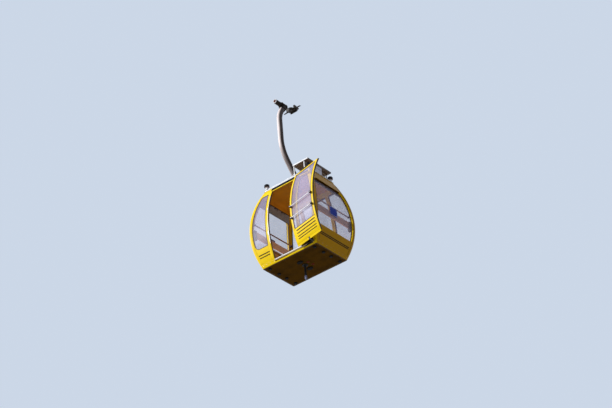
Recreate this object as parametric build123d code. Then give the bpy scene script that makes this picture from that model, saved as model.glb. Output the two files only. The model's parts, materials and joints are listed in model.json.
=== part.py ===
"""Four-seat gondola cabin of an aerial ropeway, with its hanger arm and rope grip.

X runs along the rope, the doorway is on the -Y side and Z is up. The origin is on the rope's centreline in
the grip's jaws. Cabin heights are measured up from the floor's underside and lowered on export.
"""

import os
from math import cos, hypot, radians, sin, sqrt

from build123d import *

# Cabin shell: each wall is one circular arc from floor to roof
ROPE_HEIGHT = 3920.0
WALL_RADIUS = 2220.0
BULGE_HEIGHT = 848.0
END_REACH = 883.0
SIDE_REACH = 658.0
WALL = 35.0
END_WALL = 65.0
CORNER_ROUND = 30.0
SIDE_POST = 86.0
END_POST = 74.0
FIT = 0.3
OVERCUT = 2.0
FAR = 1500.0

# Floor, stacked up from its underside
RIM_TOP = 30.0
RIM_WIDTH = 30.0
SLOT_DEPTH = 34.0
FLOOR_THICK = 16.0
SLOT_TOP = RIM_TOP + SLOT_DEPTH
FLOOR_TOP = SLOT_TOP + FLOOR_THICK

# Doorway and windows, with corner radii as (low, high) pairs
DOORWAY_HALF = 357.0
DOORWAY_TOP = 1810.0
DOOR_POST = 72.0
SIDE_WINDOW_LOW = 400.0
SIDE_HEAD = 95.0
SIDE_WINDOW_HIGH = DOORWAY_TOP - SIDE_HEAD
END_WINDOW_LOW = 400.0
END_HEAD = 204.0
END_WINDOW_HIGH = DOORWAY_TOP - END_HEAD
END_ROUNDS = (45.0, 150.0)
BAY_OUTER_ROUNDS = (120.0, 60.0)
BAY_INNER_ROUNDS = (22.0, 22.0)
PANE = 6.0
PANE_DEPTH = 3.0
END_PANE_DEPTH = 48.0
SEAL = 12.0
SEAL_OUT = 4.5
SEAL_IN = 9.0

# Header and roof, stacked up from the doorway's top
RAIL_HEIGHT = 95.0
RAIL_TOP = DOORWAY_TOP + RAIL_HEIGHT
TRACK_EDGES = (22.0, 12.0)
TRACK_LOW = DOORWAY_TOP + TRACK_EDGES[0]
TRACK_HIGH = RAIL_TOP - TRACK_EDGES[1]
TRACK_DEPTH = 20.0
VENT_SIZE = (34.0, 22.0)
VENT_DEPTH = 8.0
VENT_PITCH = 52.0
VENT_COUNT = 12
CEILING = 8.0
COVE_DROP = 110.0
COVE_ROUND = 90.0
VENT_PANEL = 6.0
VENT_PANEL_GAP = 5.0
VENT_PANEL_DROP = 80.0
ROOF_RIM = 43.0
ROOF_RIM_TOP = RAIL_TOP + ROOF_RIM
ROOF_RIM_OVERHANG = 8.0
ROOF_RISE = 54.0
ROOF_CROWN = ROOF_RIM_TOP + ROOF_RISE
ROOF_LIP = 8.0
ROOF_SKIN = 30.0

# Door leaf, drawn closed and then swung out on its two arms
LEAF_HALF = 365.0
LEAF_FLOOR_GAP = 6.0
LEAF_LOW = FLOOR_TOP + LEAF_FLOOR_GAP
LEAF_OVERLAP = 10.0
LEAF_HIGH = DOORWAY_TOP + LEAF_OVERLAP
LEAF_THICK = 35.0
LEAF_OFF_WALL = 10.0
LEAF_STILE = 50.0
LEAF_HEAD = 44.0
LEAF_WINDOW_LOW = 400.0
LEAF_WINDOW_ROUND = 28.0
LEAF_YAW = -11.5
LEAF_SEAL = 7.0
LEAF_SEAL_INSET = 5.0

# Door arms and their pins; the leaf's pivot is given from the doorway's middle and the arm's pivot
ARM_OPEN = -17.7
ARM_HALF_WIDTH = 18.0
ARM_WALL_GAP = 8.7
ARM_PIVOT_INSET = 9.5
LEAF_PIVOT_OUT = 20.0
ARM_THICK = 14.0
UPPER_ARM_RISE = 40.0
UPPER_ARM = (DOORWAY_TOP + UPPER_ARM_RISE, DOORWAY_TOP + UPPER_ARM_RISE + ARM_THICK)
LOWER_ARM_TOP_GAP = 7.0
LOWER_ARM = (SLOT_TOP - LOWER_ARM_TOP_GAP - ARM_THICK, SLOT_TOP - LOWER_ARM_TOP_GAP)
ARM_PIN = 8.0
PIN_CLEARANCE = 0.05
PIN_STAND = 4.0
BRACKET_THICK = 8.0
ARM_SLOT_GAP = 8.0
ARM_SLOT_MARGINS = (52.0, 30.0)
HINGE_SHELF = 6.0
HINGE_GAP = 2.0
HINGE_LEG = (28.0, 6.0)

# Guard bars on the leaf
BAR_RADIUS = 9.0
BAR_STANDOFF = 32.0
BAR_HEIGHTS = (655.0, 925.0)
BAR_STILE_GAP = 14.0
BAR_BRACKET = (34.0, 18.0)

# Louvre grooves as (height, half height) pairs
GROOVE_DEPTH = 5.0
LEAF_GROOVES = ((170.0, 5.0), (220.0, 5.0), (285.0, 6.0), (350.0, 8.0))
LEAF_GROOVE_EDGES = (90.0, 60.0)
SIDE_GROOVES = ((215.0, 6.0), (270.0, 7.0))
END_GROOVES = ((215.0, 6.0), (250.0, 7.0))
GROOVE_MARGIN = 30.0

# Benches, backrests and rails inside
SEAT_TOP = 395.0
SEAT_THICK = 40.0
SEAT_FRONT = 450.0
SEAT_ROUND = 15.0
RISER = 20.0
BACKREST_HEIGHTS = (760.0, 915.0)
BACKREST_DEPTHS = (80.0, 110.0)
BACKREST_END_GAP = 40.0
BACKREST_ROUND = 8.0
BACKREST_BRACKET = (22.0, 62.0)
BRACKET_HEIGHTS = (700.0, 925.0)
GRAB_RAIL_HEIGHT = 1060.0
GRAB_RAIL_DEPTH = 100.0
GRAB_RAIL_RADIUS = 14.0
FITTING_RADIUS = 20.0
FITTING_OUT = 14.0

# Plate on the outside of each end window
PLATE_SIZE = (240.0, 210.0, 4.0)
PLATE_HEIGHT = 905.0
PLATE_ROUND = 12.0

# Service platform and box on the roof; insets run in from the roof rim's +X end
PLATFORM_INSETS = (409.0, 6.0)
PLATFORM_OVERHANG = 24.0
PLATFORM_RISE = 200.0
PLATFORM_HEIGHT = ROOF_CROWN + PLATFORM_RISE
PLATFORM_TUBE = 30.0
PLATFORM_SLAB = 20.0
PLATFORM_LEG = 20.0
PLATFORM_LEG_INSETS = (394.0, 121.0)
ROOF_BOX_INSETS = (136.0, 26.0)
ROOF_BOX_Y = (-122.0, 96.0)
ROOF_BOX_ROUND = 10.0

# Corner guide rollers, placed from the roof rim's corners
ROLLER_INSET = 28.0
ROLLER_RADIUS = 55.0
ROLLER_RISE = 57.0
ROLLER_LOW = ROOF_RIM_TOP + ROLLER_RISE
ROLLER_HEIGHT = 62.0
ROLLER_BORE = 14.0
ROLLER_GAP = 6.0
ROLLER_EDGE = 8.0
STEM_BASE = 30.0

# Underside
FOOT_INSETS = (125.0, 85.0)
FOOT_MIDDLE_Y = 120.0
FOOT_RADIUS = 34.0
FOOT_HEIGHT = 22.0
FOOT_TAPER = -8.0
BUFFER_Y = 160.0
BUFFER_SIZE = (66.0, 45.0)
GUIDE_PIN_RADIUS = 22.0
GUIDE_PIN_LENGTH = 345.0
GUIDE_FLANGE_RADIUS = 60.0
GUIDE_FLANGE = 14.0

# Hanger arm in the plane x = 0: its upper points are (y, height from the rope), its lower ones (y, height
# from the roof's crown), and the two points between have a bend each
HANGER_RADIUS = 60.0
HANGER_WALL = 10.0
HANGER_UPPER = ((-336.0, -90.0), (-487.0, -360.0))
HANGER_LOWER = ((-487.0, 663.0), (-35.0, 50.0))
HANGER_BENDS = (550.0, 800.0)
EYE_RADIUS = 66.0
EYE_HALF_WIDTH = 70.0
BASE_PLATE = (300.0, 230.0, 14.0)
BASE_PLATE_ROUND = 20.0
BASE_CUP_RADIUS = 82.0
BASE_CUP_HEIGHT = 95.0

# Grip, measured from the rope's centreline
ROPE_RADIUS = 20.0
JAW_HALF_LENGTH = 90.0
JAW_LIP = -14.0
JAW_GAP = 3.0
JAW_THICK = 50.0
JAW_TOP = 45.0
JAW_ROUND = 6.0
JAW_PIVOT = (32.0, 85.0)
JAW_PIN = 12.0
JAW_NECK = 14.0
KNUCKLE = 24.0
KNUCKLE_HALF_LENGTH = 50.0
LUG_LENGTH = 34.0
SIDE_GAP = 6.0
SWING_HEIGHT = -50.0
SWING_Y = -336.0
SHAFT_RADIUS = 40.0
SHAFT_CLEARANCE = 0.05
SPRING_RADIUS = 48.0
SPRING_Y = (-412.0, -592.0)
SPRING_EDGE = 6.0
SPRING_CAP = 14.0
SPRING_CAP_RADIUS = 36.0
HEAD_Y = -165.0
HEAD_HALF_LENGTH = 50.0
HEAD_OUTLINE = ((HEAD_Y, -92.0), (HEAD_Y, -6.0), (-75.0, JAW_TOP), (-43.0, JAW_TOP), (-43.0, JAW_LIP))
TONGUE_END = 230.0
TONGUE_LOW = ROPE_RADIUS + 2.0
TONGUE_TIP = 6.0
TONGUE_WIDTH = 26.0
LEVER_END = (130.0, 130.0)
LEVER_RADIUS = 14.0
LEVER_ROLLER = (30.0, 30.0)
LEVER_BORE = 12.0


def reach(middle, height, inset=0.0):
    """Half the cabin's length or width at a height, as far inside the outer surface as inset says."""
    return middle - WALL_RADIUS + sqrt((WALL_RADIUS - inset) ** 2 - (height - BULGE_HEIGHT) ** 2)


# Pivots of the door arms on the cabin and of the closed leaf on the arms, then the open leaf's pivot
ARM_PIVOT = (
    DOORWAY_HALF - ARM_PIVOT_INSET,
    -reach(SIDE_REACH, UPPER_ARM[0]) - ARM_WALL_GAP - ARM_HALF_WIDTH,
)
LEAF_PIVOT = (0.0, ARM_PIVOT[1] - LEAF_PIVOT_OUT)
ARM_REACH = hypot(LEAF_PIVOT[0] - ARM_PIVOT[0], LEAF_PIVOT[1] - ARM_PIVOT[1])
LEAF_PIVOT_OPEN = (
    ARM_PIVOT[0] + ARM_REACH * cos(radians(ARM_OPEN)),
    ARM_PIVOT[1] + ARM_REACH * sin(radians(ARM_OPEN)),
)


def bow_outline(middle, low, high, inset=0.0):
    """Outline between two opposite arc walls; its x is level and its y is the height."""
    centre = (low + high) / 2
    edges = (
        Line((-reach(middle, low, inset), low), (reach(middle, low, inset), low)),
        ThreePointArc(*((reach(middle, z, inset), z) for z in (low, centre, high))),
        Line((reach(middle, high, inset), high), (-reach(middle, high, inset), high)),
        ThreePointArc(*((-reach(middle, z, inset), z) for z in (high, centre, low))),
    )
    return make_face(edges)


def endless(plane, outline):
    """Solid with the outline, running far past the cabin both ways along the plane's normal."""
    return extrude(plane * outline, amount=FAR, both=True)


def between_ends(low, high, inset=0.0):
    return endless(Plane.XZ, bow_outline(END_REACH, low, high, inset))


def between_sides(low, high, inset=0.0):
    return endless(Plane.YZ, bow_outline(SIDE_REACH, low, high, inset))


def hull(low, high, inset=0.0):
    return between_ends(low, high, inset) & between_sides(low, high, inset)


def cavity(low, high, extra=0.0):
    """Room inside the walls, whose ends are thicker than their sides."""
    return between_ends(low, high, END_WALL + extra) & between_sides(low, high, WALL + extra)


def rounded_hull(low, high):
    """The cabin's outside with its four upright edges rounded."""
    outside = hull(low, high)
    upright = [edge for edge in outside.edges() if edge.bounding_box().size.Z > (high - low) / 2]
    return fillet(upright, CORNER_ROUND)


def block(x, y, z):
    """Box from three (low, high) pairs."""
    return Pos(x[0], y[0], z[0]) * Box(
        x[1] - x[0], y[1] - y[0], z[1] - z[0], align=(Align.MIN, Align.MIN, Align.MIN)
    )


def rod(start, end, radius):
    """Round bar between two points."""
    line = Line(start, end)
    return extrude(Plane(origin=start, z_dir=line % 0) * Circle(radius), amount=line.length)


def disc(x, y, low, high, radius):
    """Upright cylinder between two heights."""
    return Pos(x, y, low) * extrude(Circle(radius), amount=high - low)


def roller_axle(centre, radius, length):
    """Cylinder along X about a centre."""
    return Pos(*centre) * Rot(0, 90, 0) * Cylinder(radius, length)


def mirrored(piece, *planes):
    """The piece and its mirror images in each plane in turn."""
    pieces = [piece]
    for plane in planes:
        pieces += [mirror(one, about=plane) for one in pieces]
    return pieces


def save(name, pieces, lowered=ROPE_HEIGHT):
    solids = [solid for piece in pieces for solid in (Pos(0, 0, -lowered) * piece).solids()]
    export_step(Compound(solids), f"parts/{name}.step")


def save_at_rope(name, pieces):
    save(name, pieces, 0.0)


def side_layer(low, high, outer, inner):
    """Slab of the front wall between two depths under its outer surface."""
    return (between_sides(low, high, outer) - between_sides(low, high, inner)) & block(
        (-FAR, FAR), (-FAR, 0), (low, high)
    )


def end_layer(low, high, outer, inner):
    """Slab of the +X end wall between two depths under its outer surface."""
    return (between_ends(low, high, outer) - between_ends(low, high, inner)) & block(
        (0, FAR), (-FAR, FAR), (low, high)
    )


def side_bay(low, high, outer, inner, start):
    """Front wall slab from x = start to the corner post on the +X side."""
    slab = side_layer(low, high, outer, inner) & between_ends(low, high, SIDE_POST)
    return slab & block((start, FAR), (-FAR, 0), (low, high))


def end_bay(low, high, outer, inner, margin=0.0):
    """+X end wall slab between its two corner posts."""
    return end_layer(low, high, outer, inner) & between_sides(low, high, END_POST + margin)


def rounded(outline, corners):
    """Rounds the outline's vertex nearest to each (x, y, radius)."""
    for x, y, radius in corners:
        nearest = outline.vertices().sort_by_distance((x, y))[0]
        outline = fillet(nearest, radius)
    return outline


def end_window(margin=0.0):
    """Endless solid along X with an end window's outline, smaller all round by the margin."""
    low, high = END_WINDOW_LOW + margin, END_WINDOW_HIGH - margin
    inset = END_POST + margin
    corners = [
        (side * reach(SIDE_REACH, height, inset), height, radius - margin)
        for height, radius in zip((low, high), END_ROUNDS)
        for side in (-1, 1)
    ]
    return endless(Plane.YZ, rounded(bow_outline(SIDE_REACH, low, high, inset), corners))


def bay_window(start, margin=0.0):
    """Endless solid along Y with the outline of the side window between x = start and the +X corner post."""
    low, high = SIDE_WINDOW_LOW + margin, SIDE_WINDOW_HIGH - margin
    inset, start = SIDE_POST + margin, start + margin
    outline = bow_outline(END_REACH, low, high, inset)
    outline &= Pos(start + FAR / 2, (low + high) / 2) * Rectangle(FAR, high - low)
    corners = []
    for height, outer, inner in zip((low, high), BAY_OUTER_ROUNDS, BAY_INNER_ROUNDS):
        corners.append((reach(END_REACH, height, inset), height, outer - margin))
        corners.append((start, height, inner - margin))
    return endless(Plane.XZ, rounded(outline, corners))


def middle_window(half, margin=0.0):
    """Endless solid along Y with the outline of a straight-sided window about the cabin's middle."""
    low, high = SIDE_WINDOW_LOW + margin, SIDE_WINDOW_HIGH - margin
    outline = Pos(0, (low + high) / 2) * RectangleRounded(
        2 * (half - margin), high - low, BAY_INNER_ROUNDS[0] - margin
    )
    return endless(Plane.XZ, outline)


def cut_side_grooves(panel, grooves, x_low, x_high, surface=0.0):
    """Cuts level louvre grooves, given as (height, half height) pairs, into a front wall panel."""
    for z, half in grooves:
        groove = side_layer(z - half, z + half, surface - OVERCUT, surface + GROOVE_DEPTH)
        panel -= groove & block((x_low, x_high), (-FAR, 0), (z - half, z + half))
    return panel


def posts():
    low, high = FLOOR_TOP, DOORWAY_TOP
    shell = rounded_hull(low, high) - cavity(low, high)
    corners = shell - between_ends(low, high, SIDE_POST) - between_sides(low, high, END_POST)
    save("corner_posts", [corners])
    door_post = side_layer(low, high, 0, WALL) & block(
        (DOORWAY_HALF, DOORWAY_HALF + DOOR_POST), (-FAR, 0), (low, high)
    )
    back_post = Pos(-DOOR_POST / 2, 0, 0) * mirror(door_post, about=Plane.XZ)
    save("middle_posts", [*mirrored(door_post, Plane.YZ), *mirrored(back_post, Plane.YZ)])


def wall_bays():
    """Fills each bay of the walls with a lower panel, an upper panel, a pane and the seal round it."""
    low, high = FLOOR_TOP, DOORWAY_TOP
    door_side = DOORWAY_HALF + DOOR_POST
    back_side = door_side - DOOR_POST / 2
    middle_half = back_side - DOOR_POST

    def front(outer, inner):
        return side_bay(low, high, outer, inner, door_side)

    def back(outer, inner):
        return mirror(side_bay(low, high, outer, inner, back_side), about=Plane.XZ)

    def back_middle(outer, inner):
        return mirror(side_layer(low, high, outer, inner), about=Plane.XZ) & block(
            (-middle_half, middle_half), (0, FAR), (low, high)
        )

    def end(outer, inner):
        return end_bay(low, high, outer, inner)

    # Each bay's slab, window outline, wall thickness and pane depth, and the planes that mirror it
    bays = (
        (front, lambda margin: bay_window(door_side, margin), WALL, PANE_DEPTH, (Plane.YZ,)),
        (back, lambda margin: bay_window(back_side, margin), WALL, PANE_DEPTH, (Plane.YZ,)),
        (back_middle, lambda margin: middle_window(middle_half, margin), WALL, PANE_DEPTH, ()),
        (end, end_window, END_WALL, END_PANE_DEPTH, (Plane.YZ,)),
    )
    lower, upper, panes, seals = [], [], [], []
    half_way = (SIDE_WINDOW_LOW + SIDE_WINDOW_HIGH) / 2
    for slab, window, thick, depth, planes in bays:
        wall = slab(0, thick) - window(0)
        panel = wall & block((-FAR, FAR), (-FAR, FAR), (low, half_way))
        if slab is front:
            panel = cut_side_grooves(panel, SIDE_GROOVES, door_side, END_REACH - 2 * SIDE_POST)
        if slab is end:
            panel = cut_end_grooves(panel)
        lower += mirrored(panel, *planes)
        upper += mirrored(wall & block((-FAR, FAR), (-FAR, FAR), (half_way, high)), *planes)
        panes += mirrored(slab(depth, depth + PANE) & window(SEAL + FIT), *planes)
        ring = slab(depth - SEAL_OUT, depth + SEAL_IN) & window(FIT)
        seals += mirrored(ring - window(SEAL), *planes)
    save("lower_panels", lower)
    save("upper_panels", upper)
    save("windows", panes)
    save("window_seals", seals)


def cut_end_grooves(panel):
    for z, half in END_GROOVES:
        panel -= end_bay(z - half, z + half, -OVERCUT, GROOVE_DEPTH, GROOVE_MARGIN)
    return panel


def floor():
    pan = hull(0, SLOT_TOP, RIM_WIDTH)
    slot_x = (LEAF_PIVOT[0] - ARM_SLOT_MARGINS[0], LEAF_PIVOT_OPEN[0] - ARM_SLOT_MARGINS[1])
    slot_back = ARM_PIVOT[1] + ARM_HALF_WIDTH + ARM_SLOT_GAP
    pan -= block(slot_x, (-FAR, slot_back), (RIM_TOP, SLOT_TOP))
    pan += disc(*ARM_PIVOT, RIM_TOP, SLOT_TOP, ARM_PIN)
    save("floor_pan", [pan])
    rim = rounded_hull(0, FLOOR_TOP) - hull(0, FLOOR_TOP, RIM_WIDTH)
    front = side_layer(RIM_TOP, FLOOR_TOP, -OVERCUT, RIM_WIDTH + OVERCUT) & between_ends(
        RIM_TOP, FLOOR_TOP, SIDE_POST
    )
    rim -= front & block((-DOORWAY_HALF, FAR), (-FAR, 0), (RIM_TOP, FLOOR_TOP))
    save("bottom_rim", [rim])
    sill = hull(SLOT_TOP, FLOOR_TOP) & block(
        (-DOORWAY_HALF + FIT, DOORWAY_HALF), (-FAR, 0), (SLOT_TOP, FLOOR_TOP)
    )
    save("floor_plate", [hull(SLOT_TOP, FLOOR_TOP, RIM_WIDTH) + sill])


def underside():
    foot = extrude(Circle(FOOT_RADIUS), amount=FOOT_HEIGHT, taper=FOOT_TAPER)
    foot_x = reach(END_REACH, 0) - FOOT_INSETS[0]
    feet = []
    for y in (FOOT_MIDDLE_Y, reach(SIDE_REACH, 0) - FOOT_INSETS[1]):
        feet += mirrored(Pos(foot_x, y, -FOOT_HEIGHT) * foot, Plane.XZ, Plane.YZ)
    buffer = Pos(0, BUFFER_Y, -FOOT_HEIGHT) * extrude(Ellipse(*BUFFER_SIZE), amount=FOOT_HEIGHT)
    save("underside_feet", [*feet, *mirrored(buffer, Plane.XZ)])
    flange = disc(0, 0, -GUIDE_FLANGE, 0, GUIDE_FLANGE_RADIUS)
    save("guide_pin", [flange + disc(0, 0, -GUIDE_PIN_LENGTH, -GUIDE_FLANGE, GUIDE_PIN_RADIUS)])


def header():
    rail = rounded_hull(DOORWAY_TOP, RAIL_TOP) - cavity(DOORWAY_TOP, RAIL_TOP)
    rail -= side_layer(TRACK_LOW, TRACK_HIGH, -OVERCUT, TRACK_DEPTH) & between_ends(
        TRACK_LOW, TRACK_HIGH, SIDE_POST / 2
    )
    track_middle = (TRACK_LOW + TRACK_HIGH) / 2
    vent_x = reach(END_REACH, track_middle) - VENT_DEPTH
    vent = block((vent_x, FAR), (-VENT_SIZE[0] / 2, VENT_SIZE[0] / 2), (0, VENT_SIZE[1]))
    for place in range(VENT_COUNT):
        y = (place - (VENT_COUNT - 1) / 2) * VENT_PITCH
        for one in mirrored(Pos(0, y, track_middle - VENT_SIZE[1] / 2) * vent, Plane.YZ):
            rail -= one
    save("top_rail", [rail])

    low = UPPER_ARM[1] + PIN_STAND
    high = low + BRACKET_THICK
    arm_x = (ARM_PIVOT[0] - ARM_HALF_WIDTH, ARM_PIVOT[0] + ARM_HALF_WIDTH)
    bracket = block(arm_x, (ARM_PIVOT[1], 0), (low, high))
    bracket -= between_sides(low, high, TRACK_DEPTH - FIT)
    bracket += disc(*ARM_PIVOT, low, high, ARM_HALF_WIDTH)
    bracket += disc(*ARM_PIVOT, UPPER_ARM[0] - PIN_STAND, low, ARM_PIN)
    save("arm_bracket", [bracket])


def ceiling():
    """Lining under the roof with a cove down each end wall, and the vent panel below each cove."""
    top, low = DOORWAY_TOP + CEILING, DOORWAY_TOP - COVE_DROP
    inset = END_WALL + FIT
    space = between_ends(low - OVERCUT, DOORWAY_TOP, inset + CEILING)
    level = space.edges().filter_by(Axis.Y).group_by(Axis.Z)[-1]
    lining = cavity(low, top, FIT) - fillet(level, COVE_ROUND)
    save("ceiling_panel", [lining])
    panel_low, panel_high = END_WINDOW_HIGH - VENT_PANEL_DROP, low - VENT_PANEL_GAP
    panel = end_bay(panel_low, panel_high, inset, inset + VENT_PANEL, FIT)
    save("vent_panels", mirrored(panel, Plane.YZ))


def dome(inset=0.0):
    """Roof cap whose top is bowed along X and along Y, smaller all round by the inset."""
    low, crown = ROOF_RIM_TOP, ROOF_CROWN - inset
    lip = low + ROOF_LIP
    caps = []
    for plane, middle in ((Plane.XZ, END_REACH), (Plane.YZ, SIDE_REACH)):
        half = reach(middle, ROOF_RIM_TOP) - inset
        edges = (
            Polyline((-half, lip), (-half, low), (half, low), (half, lip)),
            ThreePointArc((half, lip), (0, crown), (-half, lip)),
        )
        caps.append(endless(plane, make_face(edges)))
    return caps[0] & caps[1]


def roof():
    outer = hull(RAIL_TOP, ROOF_RIM_TOP, -ROOF_RIM_OVERHANG)
    save("roof_rim", [outer - cavity(RAIL_TOP, ROOF_RIM_TOP)])
    save("roof_shell", [dome() - Pos(0, 0, -ROOF_LIP) * dome(ROOF_SKIN)])


def benches():
    under = SEAT_TOP - SEAT_THICK
    seat = cavity(under, SEAT_TOP, FIT) & block((SEAT_FRONT, FAR), (-FAR, FAR), (under, SEAT_TOP))
    front = seat.edges().filter_by(Axis.Y).group_by(Axis.X)[0].sort_by(Axis.Z)[-1]
    seat = fillet(front, SEAT_ROUND)
    riser = cavity(FLOOR_TOP, under, FIT) & block(
        (SEAT_FRONT + RISER, SEAT_FRONT + RISER * 2), (-FAR, FAR), (FLOOR_TOP, under)
    )
    save("benches", mirrored(seat + riser, Plane.YZ))


def backrests():
    """Board across each end window between brackets on the corner posts, and the grab rail above it."""
    low, high = BACKREST_HEIGHTS
    outer, inner = BACKREST_DEPTHS
    half = reach(SIDE_REACH, high, END_POST) - BACKREST_END_GAP
    board = end_layer(low, high, outer, inner) & block((0, FAR), (-half, half), (low, high))
    board = fillet(board.edges().filter_by(Axis.Y), BACKREST_ROUND)
    save("backrests", mirrored(board, Plane.YZ))

    low, high = BRACKET_HEIGHTS
    start = half + FIT
    bracket = end_layer(low, high, END_WALL + FIT, inner + BACKREST_ROUND) & block(
        (0, FAR), (start, start + BACKREST_BRACKET[1]), (low, high)
    )
    rail_x = reach(END_REACH, GRAB_RAIL_HEIGHT, GRAB_RAIL_DEPTH)
    rail_y = reach(SIDE_REACH, GRAB_RAIL_HEIGHT, END_POST) + FITTING_OUT
    fitting = rod(
        (rail_x - GRAB_RAIL_RADIUS, rail_y, GRAB_RAIL_HEIGHT),
        (FAR, rail_y, GRAB_RAIL_HEIGHT),
        FITTING_RADIUS,
    ) & between_ends(
        GRAB_RAIL_HEIGHT - 2 * FITTING_RADIUS, GRAB_RAIL_HEIGHT + 2 * FITTING_RADIUS, END_WALL + FIT
    )
    save("wall_brackets", mirrored(bracket, Plane.XZ, Plane.YZ) + mirrored(fitting, Plane.XZ, Plane.YZ))
    rail_end = rail_y - FITTING_RADIUS - FIT
    rail = rod((rail_x, -rail_end, GRAB_RAIL_HEIGHT), (rail_x, rail_end, GRAB_RAIL_HEIGHT), GRAB_RAIL_RADIUS)
    save("grab_rails", mirrored(rail, Plane.YZ))


def number_plates():
    width, height, thick = PLATE_SIZE
    low, high = PLATE_HEIGHT - height / 2, PLATE_HEIGHT + height / 2
    outline = Pos(0, PLATE_HEIGHT) * RectangleRounded(width, height, PLATE_ROUND)
    inner = END_PANE_DEPTH - FIT
    sheet = end_layer(low - PLATE_ROUND, high + PLATE_ROUND, inner - thick, inner)
    plate = sheet & endless(Plane.YZ, outline)
    save("number_plates", mirrored(plate, Plane.YZ))


def platform():
    """Tube ring on four legs, with the slab let into it on two cross members, and the box under it."""
    low, slab_low = PLATFORM_HEIGHT - PLATFORM_TUBE, PLATFORM_HEIGHT - PLATFORM_SLAB
    half_leg = PLATFORM_LEG / 2
    end = reach(END_REACH, ROOF_RIM_TOP)
    half = reach(SIDE_REACH, ROOF_RIM_TOP) + PLATFORM_OVERHANG
    x, y = [end - inset for inset in PLATFORM_INSETS], (-half, half)
    inner_x, inner_y = [(pair[0] + PLATFORM_TUBE, pair[1] - PLATFORM_TUBE) for pair in (x, y)]
    frame = block(x, y, (low, PLATFORM_HEIGHT)) - block(inner_x, inner_y, (low, PLATFORM_HEIGHT))
    leg_y = reach(SIDE_REACH, ROOF_RIM_TOP) + ROOF_RIM_OVERHANG - half_leg
    for inset in PLATFORM_LEG_INSETS:
        leg_x = (end - inset - half_leg, end - inset + half_leg)
        leg = block(leg_x, (leg_y - half_leg, leg_y + half_leg), (ROOF_RIM_TOP + FIT, low)) - dome(-FIT)
        frame += block(leg_x, y, (low, slab_low))
        for one in mirrored(leg, Plane.XZ):
            frame += one
    save("platform_frame", [frame])
    slab_x, slab_y = [(pair[0] + FIT, pair[1] - FIT) for pair in (inner_x, inner_y)]
    save("platform_slab", [block(slab_x, slab_y, (slab_low, PLATFORM_HEIGHT))])
    box = block([end - inset for inset in ROOF_BOX_INSETS], ROOF_BOX_Y, (ROOF_RIM_TOP, low - FIT))
    box = fillet(box.edges().filter_by(Axis.Z), ROOF_BOX_ROUND) - dome(-FIT)
    save("roof_box", [box])


def rollers():
    x = reach(END_REACH, ROOF_RIM_TOP) - ROLLER_INSET
    y = reach(SIDE_REACH, ROOF_RIM_TOP)
    shoulder = ROLLER_LOW - ROLLER_GAP
    stem = disc(x, y, ROOF_RIM_TOP + FIT, shoulder, STEM_BASE) - dome(-FIT)
    stem += disc(x, y, shoulder, ROLLER_LOW + ROLLER_HEIGHT + ROLLER_GAP, ROLLER_BORE - PIN_CLEARANCE)
    save("roller_stems", mirrored(stem, Plane.XZ, Plane.YZ))
    wheel = extrude(Circle(ROLLER_RADIUS) - Circle(ROLLER_BORE), amount=ROLLER_HEIGHT)
    wheel = chamfer(wheel.edges().filter_by(GeomType.CIRCLE).group_by(SortBy.RADIUS)[-1], ROLLER_EDGE)
    for side_x, end in ((-1, "left"), (1, "right")):
        for side_y, side in ((-1, "front"), (1, "back")):
            place = Pos(side_x * x, side_y * y, ROLLER_LOW)
            save(f"roller_{side}_{end}", [place * wheel])


def open_leaf(piece):
    """Moves a piece of the closed leaf to where the open leaf stands."""
    move = Pos(*LEAF_PIVOT_OPEN) * Rot(0, 0, LEAF_YAW) * Pos(-LEAF_PIVOT[0], -LEAF_PIVOT[1])
    return move * piece


def save_leaf(name, pieces):
    save(name, [open_leaf(piece) for piece in pieces])


def leaf():
    outer, inner = -LEAF_OFF_WALL - LEAF_THICK, -LEAF_OFF_WALL
    window_half = LEAF_HALF - LEAF_STILE
    window_high = LEAF_HIGH - LEAF_HEAD

    def window(margin=0.0):
        low, high = LEAF_WINDOW_LOW + margin, window_high - margin
        outline = Pos(0, (low + high) / 2) * RectangleRounded(
            2 * (window_half - margin), high - low, LEAF_WINDOW_ROUND - margin
        )
        return endless(Plane.XZ, outline)

    frame = side_layer(LEAF_LOW, LEAF_HIGH, outer, inner) & block(
        (-LEAF_HALF, LEAF_HALF), (-FAR, 0), (LEAF_LOW, LEAF_HIGH)
    )
    frame -= window()
    groove_x = (-LEAF_HALF + LEAF_GROOVE_EDGES[0], LEAF_HALF - LEAF_GROOVE_EDGES[1])
    frame = cut_side_grooves(frame, LEAF_GROOVES, *groove_x, surface=outer)
    save_leaf("leaf_frame", [frame])
    low, high = LEAF_WINDOW_LOW, window_high
    depth = outer + PANE_DEPTH
    pane = side_layer(low, high, depth, depth + PANE) & window(SEAL + FIT)
    save_leaf("leaf_window", [pane])
    ring = side_layer(low, high, depth - SEAL_OUT, depth + SEAL_IN) & (window(FIT) - window(SEAL))
    edge = side_layer(LEAF_LOW, LEAF_HIGH, outer + LEAF_SEAL_INSET, inner - LEAF_SEAL_INSET) & block(
        (LEAF_HALF, LEAF_HALF + LEAF_SEAL), (-FAR, 0), (LEAF_LOW, LEAF_HIGH)
    )
    save_leaf("leaf_seals", [ring, *mirrored(edge, Plane.YZ)])
    guard_bars(outer, window_half - BAR_STILE_GAP)
    leaf_hinges(outer, inner)


def guard_bars(outer, half):
    bars, brackets = [], []
    for z in BAR_HEIGHTS:
        y = -reach(SIDE_REACH, z, outer) - BAR_STANDOFF
        bars.append(rod((-half, y, z), (half, y, z), BAR_RADIUS))
        arm = block(
            (half, half + BAR_BRACKET[0]),
            (y - BAR_BRACKET[1], 0),
            (z - BAR_BRACKET[1], z + BAR_BRACKET[1]),
        )
        arm -= between_sides(z - WALL, z + WALL, outer + PANE_DEPTH - SEAL_OUT - FIT)
        brackets += mirrored(arm, Plane.YZ)
    save_leaf("leaf_bars", bars)
    save_leaf("leaf_bar_brackets", brackets)


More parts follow.
